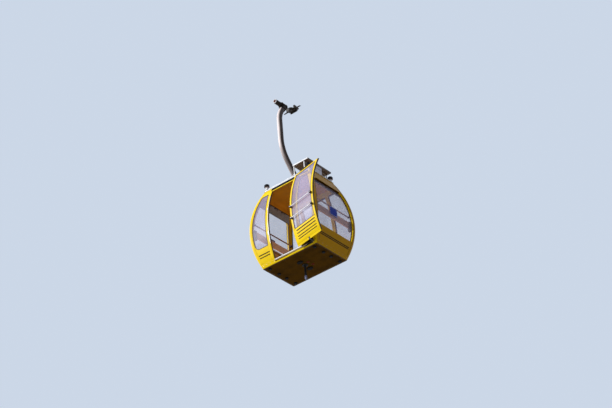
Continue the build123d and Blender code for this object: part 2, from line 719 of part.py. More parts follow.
def leaf_hinges(outer, inner):
    """Top pin on its foot, and the cranked bracket that carries the bottom pin into the sill slot."""
    arm_x = (LEAF_PIVOT[0] - ARM_HALF_WIDTH, LEAF_PIVOT[0] + ARM_HALF_WIDTH)
    foot_top = LEAF_HIGH + BRACKET_THICK
    foot = side_layer(LEAF_HIGH, foot_top, outer, inner) & block(arm_x, (-FAR, 0), (LEAF_HIGH, foot_top))
    top = foot + disc(*LEAF_PIVOT, LEAF_HIGH, UPPER_ARM[1] + PIN_STAND, ARM_PIN)
    high = LOWER_ARM[0] - HINGE_GAP
    low = high - HINGE_SHELF
    y = -reach(SIDE_REACH, LEAF_LOW, inner)
    leg = block(arm_x, (y - HINGE_LEG[0], y - HINGE_LEG[1]), (low, LEAF_LOW))
    shelf = block(arm_x, (y - HINGE_LEG[0], LEAF_PIVOT[1]), (low, high))
    boss = disc(*LEAF_PIVOT, low, high, ARM_HALF_WIDTH)
    pin = disc(*LEAF_PIVOT, low, LOWER_ARM[1] + PIN_STAND, ARM_PIN)
    save_leaf("leaf_hinges", [top, leg + shelf + boss + pin])


def door_arms():
    outline = SlotCenterToCenter(ARM_REACH, ARM_HALF_WIDTH * 2)
    for end in (-1, 1):
        outline -= Pos(end * ARM_REACH / 2, 0) * Circle(ARM_PIN + PIN_CLEARANCE)
    arms = []
    for low, high in (UPPER_ARM, LOWER_ARM):
        place = Pos(*ARM_PIVOT, low) * Rot(0, 0, ARM_OPEN) * Pos(ARM_REACH / 2, 0, 0)
        arms.append(place * extrude(outline, amount=high - low))
    save("door_arms", arms)


def hanger():
    points = [(0, y, ROPE_HEIGHT + z) for y, z in HANGER_UPPER]
    points += [(0, y, ROOF_CROWN + z) for y, z in HANGER_LOWER]
    path = FilletPolyline(*points, radius=list(HANGER_BENDS))
    section = Circle(HANGER_RADIUS) - Circle(HANGER_RADIUS - HANGER_WALL)
    tube = sweep(Plane(origin=path @ 0, z_dir=path % 0) * section, path=path)
    eye_place = Pos(0, SWING_Y, ROPE_HEIGHT + SWING_HEIGHT) * Rot(90, 0, 0)
    tube -= eye_place * Cylinder(EYE_RADIUS + FIT, EYE_HALF_WIDTH * 4)
    eye = eye_place * (
        Cylinder(EYE_RADIUS, EYE_HALF_WIDTH * 2)
        - Cylinder(SHAFT_RADIUS + SHAFT_CLEARANCE, EYE_HALF_WIDTH * 2)
    )
    save("hanger_tube", [tube])
    save("hanger_eye", [eye])

    foot = Vector(*points[-1])
    along = (Vector(*points[-2]) - foot).normalized()
    cup = rod(foot - along * BASE_CUP_HEIGHT, foot + along * BASE_CUP_HEIGHT, BASE_CUP_RADIUS)
    cup -= rod(foot, foot + along * BASE_CUP_HEIGHT, HANGER_RADIUS + FIT)
    width, depth, thick = BASE_PLATE
    plate = Pos(0, 0, ROOF_RIM_TOP) * extrude(
        RectangleRounded(width, depth, BASE_PLATE_ROUND), amount=ROOF_RISE + thick
    )
    above = block((-FAR, FAR), (-FAR, FAR), (ROOF_RIM_TOP, ROOF_CROWN + FAR))
    save("hanger_base", [((cup & above) + plate) - dome(-FIT)])


def grip():
    """Fixed jaw and body, with the lugs for the moving jaw and the shaft that the hanger swings on."""
    across = (-JAW_HALF_LENGTH, JAW_HALF_LENGTH)
    back = -JAW_GAP - JAW_THICK
    jaw = block(across, (back, -JAW_GAP), (JAW_LIP, JAW_TOP))
    back_edge = jaw.edges().filter_by(Axis.X).group_by(Axis.Y)[0]
    body = fillet(back_edge, JAW_ROUND) - roller_axle((0, 0, 0), ROPE_RADIUS, 4 * JAW_HALF_LENGTH)
    body += extrude(Plane.YZ * make_face(Polyline(*HEAD_OUTLINE, close=True)), HEAD_HALF_LENGTH, both=True)
    pivot_y, pivot_z = JAW_PIVOT
    start = KNUCKLE_HALF_LENGTH + SIDE_GAP
    lug_x = (start, start + LUG_LENGTH)
    foot = JAW_TOP + SIDE_GAP
    lug = block(lug_x, (back + JAW_ROUND, -JAW_GAP), (ROPE_RADIUS, foot))
    lug += block(lug_x, (back + JAW_ROUND, pivot_y), (foot, pivot_z + KNUCKLE))
    lug += roller_axle((start + LUG_LENGTH / 2, pivot_y, pivot_z), KNUCKLE, LUG_LENGTH)
    tongue = Plane.XZ * make_face(
        Polyline(
            (JAW_HALF_LENGTH, TONGUE_LOW),
            (TONGUE_END, TONGUE_LOW),
            (TONGUE_END, TONGUE_LOW + TONGUE_TIP),
            (JAW_HALF_LENGTH, JAW_TOP),
            close=True,
        )
    )
    lug += Pos(0, -JAW_GAP, 0) * extrude(tongue, amount=TONGUE_WIDTH)
    for one in mirrored(lug, Plane.YZ):
        body += one
    body += roller_axle((0, pivot_y, pivot_z), JAW_PIN, 2 * (start + LUG_LENGTH))
    save_at_rope("grip_body", [body])
    near, far = (0, SPRING_Y[0], SWING_HEIGHT), (0, SPRING_Y[1], SWING_HEIGHT)
    shaft = rod((0, HEAD_Y - FIT, SWING_HEIGHT), (0, SPRING_Y[0] + FIT, SWING_HEIGHT), SHAFT_RADIUS)
    save_at_rope("swing_shaft", [shaft])
    spring = rod(near, far, SPRING_RADIUS)
    spring = chamfer(spring.edges().filter_by(GeomType.CIRCLE), SPRING_EDGE)
    spring += rod(far, (0, SPRING_Y[1] - SPRING_CAP, SWING_HEIGHT), SPRING_CAP_RADIUS)
    save_at_rope("spring_housing", [spring])


def moving_jaw():
    pivot_y, pivot_z = JAW_PIVOT
    front = JAW_GAP + JAW_THICK
    jaw = block((-JAW_HALF_LENGTH, JAW_HALF_LENGTH), (JAW_GAP, front), (JAW_LIP, JAW_TOP))
    jaw = fillet(jaw.edges().filter_by(Axis.X).group_by(Axis.Y)[-1], JAW_ROUND)
    jaw -= roller_axle((0, 0, 0), ROPE_RADIUS, 4 * JAW_HALF_LENGTH)
    jaw += block(
        (-KNUCKLE_HALF_LENGTH, KNUCKLE_HALF_LENGTH),
        (pivot_y - JAW_NECK, pivot_y + JAW_NECK),
        (JAW_TOP, pivot_z),
    )
    jaw += roller_axle((0, pivot_y, pivot_z), KNUCKLE, 2 * KNUCKLE_HALF_LENGTH)
    jaw += rod((0, pivot_y, pivot_z), (0, *LEVER_END), LEVER_RADIUS)
    radius, width = LEVER_ROLLER
    start = LEVER_RADIUS + SIDE_GAP
    jaw += rod(
        (-start, *LEVER_END),
        (start + width + SIDE_GAP, *LEVER_END),
        LEVER_BORE - PIN_CLEARANCE,
    )
    jaw -= roller_axle((0, pivot_y, pivot_z), JAW_PIN + PIN_CLEARANCE, 4 * KNUCKLE_HALF_LENGTH)
    save_at_rope("moving_jaw", [jaw])
    middle = (start + width / 2, *LEVER_END)
    wheel = roller_axle(middle, radius, width) - roller_axle(middle, LEVER_BORE, width)
    save_at_rope("lever_roller", [wheel])


os.makedirs("parts", exist_ok=True)
posts()
wall_bays()
floor()
underside()
header()
ceiling()
roof()
benches()
backrests()
number_plates()
platform()
rollers()
leaf()
door_arms()
hanger()
grip()
moving_jaw()
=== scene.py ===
"""Looks of the gondola cabin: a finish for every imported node, with its fittings, fasteners and trim."""

import json
from math import cos, pi, radians, sin, sqrt

import bmesh
import bpy
from mathutils import Matrix, Vector


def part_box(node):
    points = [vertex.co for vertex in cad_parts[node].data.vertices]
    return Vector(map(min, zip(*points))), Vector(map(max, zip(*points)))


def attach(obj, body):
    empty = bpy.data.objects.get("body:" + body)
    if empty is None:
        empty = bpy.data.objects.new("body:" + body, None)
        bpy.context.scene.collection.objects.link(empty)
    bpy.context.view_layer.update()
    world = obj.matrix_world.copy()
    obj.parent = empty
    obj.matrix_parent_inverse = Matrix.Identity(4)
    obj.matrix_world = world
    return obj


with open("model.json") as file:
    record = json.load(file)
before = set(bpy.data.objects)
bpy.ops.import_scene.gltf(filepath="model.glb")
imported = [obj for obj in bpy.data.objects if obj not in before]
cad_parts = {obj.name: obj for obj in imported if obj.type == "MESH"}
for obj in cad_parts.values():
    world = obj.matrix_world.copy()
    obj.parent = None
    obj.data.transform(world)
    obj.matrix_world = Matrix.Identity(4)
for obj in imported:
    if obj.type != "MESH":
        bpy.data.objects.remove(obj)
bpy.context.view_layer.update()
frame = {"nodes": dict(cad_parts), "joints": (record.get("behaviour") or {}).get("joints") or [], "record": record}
joints = {joint["name"]: Vector(joint["pos_m"]) for joint in frame["joints"]}

# The photograph's camera, solved from the cabin's corners
ROPE_HEIGHT = 3.92
AIM = Vector((0.0, 0.0, 1.05 - ROPE_HEIGHT))
CAMERA_OFFSET = Vector((16.33, -21.28, -17.45))
CAMERA_ROLL = radians(-4.536)
CAMERA_LENS = 90.96
CAMERA_SHIFT = (0.00724, 0.0291)

# Light; the sky's falls off from left to right
SUN_FROM = Vector((-0.64, -0.64, 0.46))
SUN_STRENGTH = 3.55
SUN_ANGLE = radians(12)
SKY_LIGHT = 0.52
GROUND_LIGHT = 0.32
HORIZON_SLOPE = 0.3
LEFT_SHARE, RIGHT_SHARE = 1.35, 0.30
SIDE_SLOPE = 0.8
BACKDROP = (0.60, 0.68, 0.80)
FLOOR_HALF = 400.0
FLOOR_BELOW_CAMERA = 0.1
FLOOR_LIT = (0.30, 0.30, 0.31)
FLOOR_SEEN = ((0.80, 0.81, 0.83), (0.84, 0.85, 0.87))

# The cabin, in metres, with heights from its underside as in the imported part
WALL_RADIUS = 2.22
BULGE_HEIGHT = 0.848
END_REACH = 0.883
SIDE_REACH = 0.658
SIDE_POST = 0.086
END_POST = 0.074
FLOOR_TOP = 0.08
DOORWAY_HALF = 0.357
DOOR_POST = 0.072
DOORWAY_TOP = 1.81
TRACK = (1.832, 1.893)
TRACK_MIDDLE = sum(TRACK) / 2
TRACK_DEPTH = 0.020
RAIL_TOP = 1.905
ROOF_RIM_TOP = 1.948
ROOF_CROWN = 2.002
BENCH_TOP = 0.395
LEAF_HALF = 0.365
LEAF_LOW = 0.086
LEAF_FACE = 0.045
LEAF_YAW = radians(-11.5)

# Places that the joints give
LEAF_OPEN = joints["leaf_turn"]
ARM_PIVOT = joints["door_arm_swing"]
EYE = joints["hanger_swing"]
JAW_PIVOT = joints["jaw_open"]
LEVER_PIN = joints["lever_roller_spin"]
ARM_OFFSET = 0.020
LEAF_CLOSED = Vector((0.0, ARM_PIVOT.y - ARM_OFFSET, ARM_PIVOT.z))
LEAF_MOVE = (
    Matrix.Translation(LEAF_OPEN) @ Matrix.Rotation(LEAF_YAW, 4, "Z") @ Matrix.Translation(-LEAF_CLOSED)
)

UP, DOWN = Vector((0, 0, 1)), Vector((0, 0, -1))
RIGHT, AHEAD = Vector((1, 0, 0)), Vector((0, -1, 0))
BOTH = (-1, 1)
# The two end walls and the way into the cabin from each
ENDS = {"left": RIGHT, "right": -RIGHT}


def reach(middle, height, inset=0.0):
    """Half the cabin's length or width at a height above its underside."""
    return middle - WALL_RADIUS + sqrt((WALL_RADIUS - inset) ** 2 - (height - BULGE_HEIGHT) ** 2)


def above(x, y, height):
    """Point of the cabin at a height above its underside."""
    return Vector((x, y, height - ROPE_HEIGHT))


def wall_point(wall, along, height, depth=0.0):
    """Point of a wall or of the open leaf: along it, above the underside and under its surface."""
    if wall in ("left", "right"):
        out = reach(END_REACH, height, depth)
        return above(out if wall == "right" else -out, along, height)
    out = reach(SIDE_REACH, height, depth - (LEAF_FACE if wall == "leaf" else 0.0))
    point = above(along, out if wall == "back" else -out, height)
    return LEAF_MOVE @ point if wall == "leaf" else point


def wall_normal(wall, along, height, step=0.01):
    return (wall_point(wall, along, height, -step) - wall_point(wall, along, height, step)).normalized()


def on_wall(wall, along, height, depth=0.0):
    """Place for a fastener: a wall's point and the direction out of it."""
    return wall_point(wall, along, height, depth), wall_normal(wall, along, height)


# Shader nodes


def linked(tree, socket, value):
    if isinstance(value, bpy.types.NodeSocket):
        tree.links.new(value, socket)
    elif socket.type == "RGBA":
        socket.default_value = (*value, 1.0)
    else:
        socket.default_value = value


def node(tree, kind, inputs=None, output=0, **settings):
    """Adds a shader node with its settings and inputs, and gives one of its outputs."""
    made = tree.nodes.new("ShaderNode" + kind)
    for name, value in settings.items():
        setattr(made, name, value)
    for name, value in (inputs or {}).items():
        linked(tree, made.inputs[name], value)
    return made.outputs[output]


def blank_material(name):
    material = bpy.data.materials.new(name)
    material.use_nodes = True
    tree = material.node_tree
    tree.nodes.clear()
    shader = tree.nodes.new("ShaderNodeBsdfPrincipled")
    out = tree.nodes.new("ShaderNodeOutputMaterial")
    tree.links.new(shader.outputs[0], out.inputs[0])
    return material, tree, shader


def place(tree, scale=(1, 1, 1)):
    """The object's own coordinates, stretched by scale."""
    at = node(tree, "TexCoord", output="Object")
    return node(tree, "Mapping", {"Vector": at, "Scale": scale})


def noise(tree, scale, detail=3.0, stretch=(1, 1, 1), rough=0.55):
    inputs = {"Vector": place(tree, stretch), "Scale": scale, "Detail": detail, "Roughness": rough}
    return node(tree, "TexNoise", inputs)


def ramp(tree, value, low, high, bottom=0.0, top=1.0):
    """Value carried from low..high to bottom..top, held beyond the ends."""
    inputs = {"Value": value, "From Min": low, "From Max": high, "To Min": bottom, "To Max": top}
    return node(tree, "MapRange", inputs)


def mixed(tree, factor, one, other):
    made = tree.nodes.new("ShaderNodeMix")
    made.data_type = "RGBA"
    linked(tree, made.inputs["Factor"], factor)
    linked(tree, made.inputs[6], one)
    linked(tree, made.inputs[7], other)
    return made.outputs[2]


def sums(tree, operation, *values):
    made = tree.nodes.new("ShaderNodeMath")
    made.operation = operation
    for socket, value in zip(made.inputs, values):
        linked(tree, socket, value)
    return made.outputs[0]


def part_of(tree, output, axis):
    """One axis of the object's normal, or of another output of its coordinates."""
    return node(tree, "SeparateXYZ", {"Vector": node(tree, "TexCoord", output=output)}, axis)


def background_seen(tree):
    """One for rays that show the background, straight on or in metal and glass, and else nought."""
    path = tree.nodes.new("ShaderNodeLightPath")
    shown = sums(tree, "MAXIMUM", path.outputs["Is Camera Ray"], path.outputs["Is Glossy Ray"])
    return sums(tree, "MAXIMUM", shown, path.outputs["Is Transmission Ray"])


def shade(colour, by):
    return tuple(min(1.0, channel * by) for channel in colour)


def dotted(tree, stretch, middle, low, high):
    """One in round dots, one in every cell, and nought between them."""
    cell = node(tree, "VectorMath", {0: place(tree, stretch)}, operation="FRACTION")
    apart = node(tree, "VectorMath", {0: cell, 1: middle}, output="Value", operation="DISTANCE")
    return ramp(tree, apart, low, high, 1.0, 0.0)


def perforated(tree, pitch=0.014):
    """Round holes across Y and Z."""
    return dotted(tree, (0, 1 / pitch, 1 / pitch), (0, 0.5, 0.5), low=0.26, high=0.34)


def studded(tree, pitch=0.03):
    """Round studs across X and Y."""
    return dotted(tree, (1 / pitch, 1 / pitch, 0), (0.5, 0.5, 0), low=0.22, high=0.36)


def diagonal(tree, scale=12.0):
    """Bands that run slantwise across X and Y."""
    inputs = {"Vector": place(tree), "Scale": scale, "Distortion": 0.6}
    return node(tree, "TexWave", inputs, bands_direction="DIAGONAL")


YELLOW = (0.96, 0.66, 0.003)
WHITE = (0.84, 0.85, 0.88)
BLACK = (0.010, 0.009, 0.010)
TRIM_BLACK = (0.014, 0.013, 0.014)
# Dark brown of the underside is painted shade; the drain plugs take it as their dirt tint
UNDERBODY = (0.105, 0.046, 0.004)
GREASE = (0.018, 0.012, 0.008)
GREY_DUST = (0.10, 0.09, 0.08)

finishes = {}

# What a finish has unless it says otherwise; soot rows, painted shade on faces by their normal, are the normal's
# axis, low, high, amount
# below is painted shade on faces turned down, and crease painted shade in creases
PLAIN = dict(
    metal=0.0, coat=0.0, specular=0.5, patch=0.07, patch_scale=5.0, dirt=0.25,
    dirt_colour=(0.09, 0.06, 0.04), streak=(26.0, 26.0, 1.6), crease=0.55, grain=500.0,
    grain_depth=0.15, pattern=None, pattern_dark=0.6, soot=(), below=None,
)
CREASE_REACH = 0.03
COAT_ROUGH = 0.08
DIRT_DULLS = 0.4
PATTERN_DEPTH = 3.0


def finish(name, colour, rough, **wanted):
    """Painted, moulded or cast: patchy colour, dirt in streaks, painted shade in creases, on faces turned down and
    on faces by their normal, grain and uneven gloss.
    """
    look = PLAIN | wanted
    dirt_colour = look["dirt_colour"]
    material, tree, shader = blank_material(name)
    patches = ramp(tree, noise(tree, look["patch_scale"], detail=4.0), 0.3, 0.7)
    base = mixed(tree, patches, shade(colour, 1 - look["patch"]), shade(colour, 1 + look["patch"]))
    flow = noise(tree, 1.0, detail=5.0, stretch=look["streak"], rough=0.65)
    streaks = ramp(tree, flow, 0.56, 0.78, 0.0, look["dirt"])
    base = mixed(tree, streaks, base, dirt_colour)
    # Painted shade: creases, found by ambient occlusion, take on the darker colour
    open_sky = node(tree, "AmbientOcclusion", {"Distance": CREASE_REACH}, "AO", samples=6)
    creases = ramp(tree, open_sky, 0.25, 0.85, look["crease"], 0.0)
    base = mixed(tree, creases, base, dirt_colour)
    height = noise(tree, look["grain"], detail=2.0)
    if look["pattern"]:
        cells = look["pattern"](tree)
        base = mixed(tree, cells, base, shade(colour, 1 - look["pattern_dark"]))
        height = sums(tree, "SUBTRACT", height, sums(tree, "MULTIPLY", cells, PATTERN_DEPTH))
    # Painted shade: faces turned along an axis take on the darker colour, broken up by a cloud
    for axis, low, high, amount in look["soot"]:
        turned_away = ramp(tree, part_of(tree, "Normal", axis), low, high, 0.0, amount)
        cloud = noise(tree, 9.0, detail=4.0, stretch=(1, 1, 0.3))
        cloud = ramp(tree, cloud, 0.25, 0.6, 0.93, 1.0)
        base = mixed(tree, sums(tree, "MULTIPLY", turned_away, cloud), base, dirt_colour)
    # Painted shade: faces turned down take on the under colour
    if look["below"]:
        under = ramp(tree, part_of(tree, "Normal", "Z"), -0.97, -0.9, 1.0, 0.0)
        base = mixed(tree, under, base, look["below"])
    gloss = ramp(tree, patches, 0.0, 1.0, rough * 0.85, rough * 1.1)
    dull = sums(tree, "MULTIPLY", sums(tree, "ADD", streaks, creases), DIRT_DULLS)
    linked(tree, shader.inputs["Base Color"], base)
    linked(tree, shader.inputs["Roughness"], sums(tree, "ADD", gloss, dull))
    shader.inputs["Metallic"].default_value = look["metal"]
    shader.inputs["Specular IOR Level"].default_value = look["specular"]
    shader.inputs["Coat Weight"].default_value = look["coat"]
    shader.inputs["Coat Roughness"].default_value = COAT_ROUGH
    relief = {"Height": height, "Strength": look["grain_depth"], "Distance": 0.001}
    linked(tree, shader.inputs["Normal"], node(tree, "Bump", relief))
    finishes[name] = material


def glass(name, tint, clear, veil):
    """Thin tinted glazing: see-through face on, milkier where seen slantwise as a painted reflection, with a film
    of dust.
    """
    material, tree, shader = blank_material(name)
    # Painted reflection: the lilac film thickens where the pane is seen slantwise
    slant = node(tree, "LayerWeight", {"Blend": 0.35}, "Facing")
    dust = noise(tree, 3.0, detail=5.0, stretch=(1, 1, 0.4))
    dust = ramp(tree, dust, 0.35, 0.75, 0.0, 0.07)
    film = sums(tree, "ADD", ramp(tree, slant, 0.0, 1.0, clear, veil), dust)
    linked(tree, shader.inputs["Alpha"], film)
    patches = ramp(tree, noise(tree, 2.0), 0.3, 0.7)
    linked(tree, shader.inputs["Base Color"], mixed(tree, patches, shade(tint, 0.94), tint))
    shader.inputs["Roughness"].default_value = 0.3
    shader.inputs["Specular IOR Level"].default_value = 0.22
    finishes[name] = material


# Every finish: its name, colour, roughness and what sets it apart from a plain one
# body_yellow: the +X end is browned and faces turned down take the dark underside colour, both painted shade
finish(
    "body_yellow", YELLOW, 0.4, patch=0.05, dirt=0.10, grain_depth=0.05, specular=0.08, below=UNDERBODY,
    dirt_colour=(0.44, 0.15, 0.006), soot=(("X", 0.5, 0.9, 0.7),),
)
finish("roof_white", WHITE, 0.3, coat=0.3, dirt=0.2)
finish("white_frame", WHITE, 0.34, coat=0.2, dirt=0.15, streak=(60, 60, 6))
glass("window", tint=(0.60, 0.55, 0.78), clear=0.09, veil=0.42)
finish("rubber_black", BLACK, 0.75, dirt=0.2, specular=0.08, crease=0.0, dirt_colour=(0.05, 0.045, 0.04))
finish("roller_black", BLACK, 0.6, dirt=0.3, specular=0.15, dirt_colour=(0.06, 0.05, 0.05), grain=900)
finish("black_steel", TRIM_BLACK, 0.5, specular=0.2, dirt_colour=GREASE)
finish("black_plastic", TRIM_BLACK, 0.5, dirt=0.12, grain=1500, specular=0.3)
# hanger_paint: the +X side and the downward faces are darkened almost to black as painted shade
finish(
    "hanger_paint", (0.82, 0.72, 0.71), 0.4, patch=0.08, dirt=0.45, dirt_colour=(0.030, 0.014, 0.010),
    streak=(30, 30, 2.2), specular=0.2, soot=(("X", 0.34, 0.72, 0.98), ("Z", -0.15, -0.62, 0.75)),
)
finish(
    "grip_steel", (0.026, 0.018, 0.012), 0.55, patch=0.4, dirt=0.4, specular=0.12, dirt_colour=GREASE,
    grain=260, grain_depth=0.6,
)
finish("shaft_steel", (0.26, 0.24, 0.23), 0.35, metal=0.7, dirt=0.6, dirt_colour=GREASE, streak=(4, 4, 90))
# lining_brown: a tan lining, its colour deepened to orange-brown as painted shade and painted yellow bounce light
finish(
    "lining_brown", (0.70, 0.28, 0.010), 0.6, patch=0.12, dirt=0.2, specular=0.15, grain=700,
    grain_depth=0.3, dirt_colour=(0.14, 0.05, 0.01),
)
# floor_brown: the underside is darkened to this brown as painted shade
finish(
    "floor_brown", UNDERBODY, 0.8, patch=0.35, dirt=0.5, dirt_colour=(0.030, 0.014, 0.002),
    streak=(5, 5, 5), grain=320, grain_depth=0.5, specular=0.02,
)
finish(
    "slab_brown", (0.15, 0.075, 0.028), 0.6, patch=0.35, patch_scale=14, dirt=0.35, specular=0.25,
    dirt_colour=GREASE, pattern=diagonal, pattern_dark=0.55,
)
finish("bench_tan", (0.72, 0.38, 0.13), 0.5, specular=0.2, patch=0.1, dirt=0.2, streak=(30, 3, 30))
finish("board_peach", (0.78, 0.46, 0.30), 0.5, specular=0.2, patch=0.08, dirt=0.2, streak=(4, 30, 30))
finish("rail_brown", (0.26, 0.09, 0.015), 0.4, coat=0.1, specular=0.3)
finish("plate_blue", (0.003, 0.030, 0.40), 0.4, dirt=0.12, specular=0.1)
# box_lilac: a white box, its lilac-blue tint a painted reflection of the sky
finish("box_lilac", (0.76, 0.76, 0.94), 0.4, patch=0.14, patch_scale=12, dirt=0.3)
finish(
    "vent_grey", (0.40, 0.37, 0.36), 0.5, patch=0.25, patch_scale=12, dirt=0.35,
    pattern=perforated, pattern_dark=0.85,
)
finish("sill_aluminium", (0.88, 0.88, 0.90), 0.4, metal=0.1, dirt=0.15, streak=(3, 60, 60))
finish("zinc", (0.52, 0.52, 0.55), 0.34, metal=0.9, dirt=0.35, dirt_colour=GREASE, grain=1200)
finish("weld", (0.30, 0.27, 0.26), 0.45, metal=0.7, patch=0.3, patch_scale=60, dirt=0.4)
finish("primer_red", (0.13, 0.016, 0.003), 0.7, patch=0.3, dirt=0.4, dirt_colour=UNDERBODY, specular=0.1)
finish("seal_rubber", (0.070, 0.052, 0.036), 0.6, dirt=0.3, specular=0.2, crease=0.0)
# platform_white: the +X faces and those turned down are darkened as painted shade
finish(
    "platform_white", WHITE, 0.4, dirt=0.2, streak=(60, 60, 6), specular=0.2, below=(0.14, 0.075, 0.03),
    dirt_colour=(0.040, 0.018, 0.006), soot=(("X", 0.4, 0.9, 0.9),),
)
finish("shoe_blue", (0.30, 0.33, 0.55), 0.35, dirt=0.5, dirt_colour=GREASE, streak=(60, 60, 2))
finish("hub_pink", (0.58, 0.36, 0.33), 0.45, metal=0.3, dirt=0.4)
finish(
    "mat_rubber", (0.050, 0.034, 0.026), 0.75, patch=0.2, dirt=0.3, specular=0.2, dirt_colour=GREY_DUST,
    grain_depth=0.4, pattern=studded, pattern_dark=-0.35,
)

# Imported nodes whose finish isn't their slot's
OWN_LOOKS = {
    "window_seals": "seal_rubber",
    "leaf_seals": "seal_rubber",
    "guide_pin": "black_steel",
    "platform_frame": "platform_white",
}

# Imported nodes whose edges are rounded, by the width of the bevel
SOFTENED = {
    0.004: ["roof_rim"],
    0.003: ["corner_posts", "middle_posts", "bottom_rim", "roof_box", "benches"],
    0.0025: ["grip_body", "moving_jaw"],
    0.002: ["top_rail", "platform_frame", "backrests", "hanger_base", "wall_brackets", "leaf_bar_brackets"],
    0.0015: ["platform_slab", "door_arms"],
    0.001: ["leaf_frame"],
}
SOFT_ANGLE = radians(42)
SHARP_ANGLE = radians(38)
WELD_REACH = 0.00002


def bevel_edges(made, width):
    bevel = made.modifiers.new("bevel", "BEVEL")
    bevel.width = width
    bevel.segments = 2
    bevel.limit_method = "ANGLE"
    return bevel


widths = {name: width for width, names in SOFTENED.items() for name in names}
for part in frame["record"]["subparts"]:
    name = part["node"]
    dressed = frame["nodes"][name]
    dressed.data.materials.clear()
    dressed.data.materials.append(finishes[OWN_LOOKS.get(name, part["material_slot"])])
    if name in widths:
        weld = dressed.modifiers.new("weld", "WELD")
        weld.merge_threshold = WELD_REACH
        bevel = bevel_edges(dressed, widths[name])
        bevel.angle_limit = SOFT_ANGLE
        bevel.harden_normals = True

# Mesh building


def loft(bm, sections, ring=False):
    """Closed skin over sections with the same number of points; a ring's last section meets its first."""
    loops = [[bm.verts.new(point) for point in section] for section in sections]
    pairs = list(zip(loops, loops[1:]))
    if ring:
        pairs.append((loops[-1], loops[0]))
    else:
        bm.faces.new(loops[0])
        bm.faces.new(reversed(loops[-1]))
    for one, other in pairs:
        for k in range(len(one)):
            bm.faces.new((one[k], one[k - 1], other[k - 1], other[k]))


def around(at, radius, height, count, start=0.0):
    """Evenly spaced points on a circle about the local Z of a place."""
    turns = [start + 2 * pi * k / count for k in range(count)]
    return [at @ Vector((radius * cos(turn), radius * sin(turn), height)) for turn in turns]


def facing(point, normal):
    return Matrix.Translation(point) @ normal.to_track_quat("Z", "Y").to_matrix().to_4x4()


def tube(bm, points, radius, sides=8, ring=False):
    """Round bar through points; the radius may be a function of the point's number."""
    count = len(points)
    sections = []
    across = None
    for i, point in enumerate(points):
        before = points[i - 1] if ring or i else point
        after = points[(i + 1) % count] if ring or i < count - 1 else point
        along = (after - before).normalized()
        across = along.orthogonal() if across is None else across - along * across.dot(along)
        across.normalize()
        side = along.cross(across)
        thick = radius(i) if callable(radius) else radius
        turns = [2 * pi * k / sides for k in range(sides)]
        sections.append([point + (across * cos(t) + side * sin(t)) * thick for t in turns])
    loft(bm, sections, ring)


def turned(bm, profile, at, sides):
    """Form turned about the local Z from (radius, height) points that start and end on the axis."""
    rings = []
    for radius, height in profile:
        points = around(at, radius, height, sides if radius else 1)
        rings.append([bm.verts.new(point) for point in points])
    for one, other in zip(rings, rings[1:]):
        for k in range(sides):
            steps = ((one, k), (one, k + 1), (other, k + 1), (other, k))
            corners = list(dict.fromkeys(ring[step % len(ring)] for ring, step in steps))
            if len(corners) > 2:
                bm.faces.new(corners)


def collar(bm, outline, at, sides=36):
    """Ring turned about the local Z from a closed (radius, height) outline."""
    turns = [2 * pi * k / sides for k in range(sides)]
    loft(bm, [[at @ Vector((r * cos(t), r * sin(t), h)) for r, h in outline] for t in turns], ring=True)


def block(bm, across, ahead, heights):
    """Upright box between two x, two y and two heights above the cabin's underside."""
    (left, right), (front, back) = across, ahead
    outline = ((left, front), (right, front), (right, back), (left, back))
    loft(bm, [[above(x, y, height) for x, y in outline] for height in heights])


def slab(bm, wall, along, heights, depths, steps):
    """Thick strip that follows a wall; along may be a function of the height that gives (low, high)."""
    outer, inner = depths
    sections = []
    for i in range(steps + 1):
        height = heights[0] + (heights[1] - heights[0]) * i / steps
        low, high = along(height) if callable(along) else along
        corners = ((low, outer), (high, outer), (high, inner), (low, inner))
        sections.append([wall_point(wall, spot, height, depth) for spot, depth in corners])
    loft(bm, sections)


def rounded(half_x, half_y, radius, steps):
    """Rounded rectangle about the origin, from its corner centres, their radius and the steps of each."""
    outline = []
    for quarter, (x, y) in enumerate(((1, 1), (-1, 1), (-1, -1), (1, -1))):
        for i in range(steps + 1):
            turn = (quarter + i / steps) * pi / 2
            outline.append((x * half_x + radius * cos(turn), y * half_y + radius * sin(turn)))
    return outline


def spread(low, high, pitch, inset=0.0):
    """Evenly spaced places, about a pitch apart, between two ends kept in by the inset."""
    low += inset
    high -= inset
    count = max(1, round((high - low) / pitch))
    return [low + (high - low) * i / count for i in range(count + 1)]


def piece(name, bm, look, body="cabin", bevel=0.0):
    """Makes one object from the mesh, smooth except at its sharp edges, and lets it ride on a body."""
    bmesh.ops.recalc_face_normals(bm, faces=bm.faces)
    mesh = bpy.data.meshes.new(name)
    bm.to_mesh(mesh)
    bm.free()
    mesh.shade_smooth()
    mesh.set_sharp_from_angle(angle=SHARP_ANGLE)
    mesh.materials.append(finishes[look])
    made = bpy.data.objects.new(name, mesh)
    bpy.context.scene.collection.objects.link(made)
    if bevel:
        bevel_edges(made, bevel)
    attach(made, body)


def strips(name, look, runs, bevel=0.0, body="cabin"):
    """One piece of slabs; each run is its wall, along, heights, depths and steps."""
    bm = bmesh.new()
    for run in runs:
        slab(bm, *run)
    piece(name, bm, look, body, bevel)


def turnings(name, look, forms, body="cabin"):
    """One piece of turned forms; each is its profile, its place and its number of sides."""
    bm = bmesh.new()
    for form in forms:
        turned(bm, *form)
    piece(name, bm, look, body)


def hoops(name, look, size, centres, normal, body):
    """Thin rings from their radius, that of their bar, and the points round the ring and the bar."""
    radius, thick, count, sides = size
    bm = bmesh.new()
    for centre in centres:
        tube(bm, around(facing(centre, normal), radius, 0, count), thick, sides, ring=True)
    piece(name, bm, look, body)


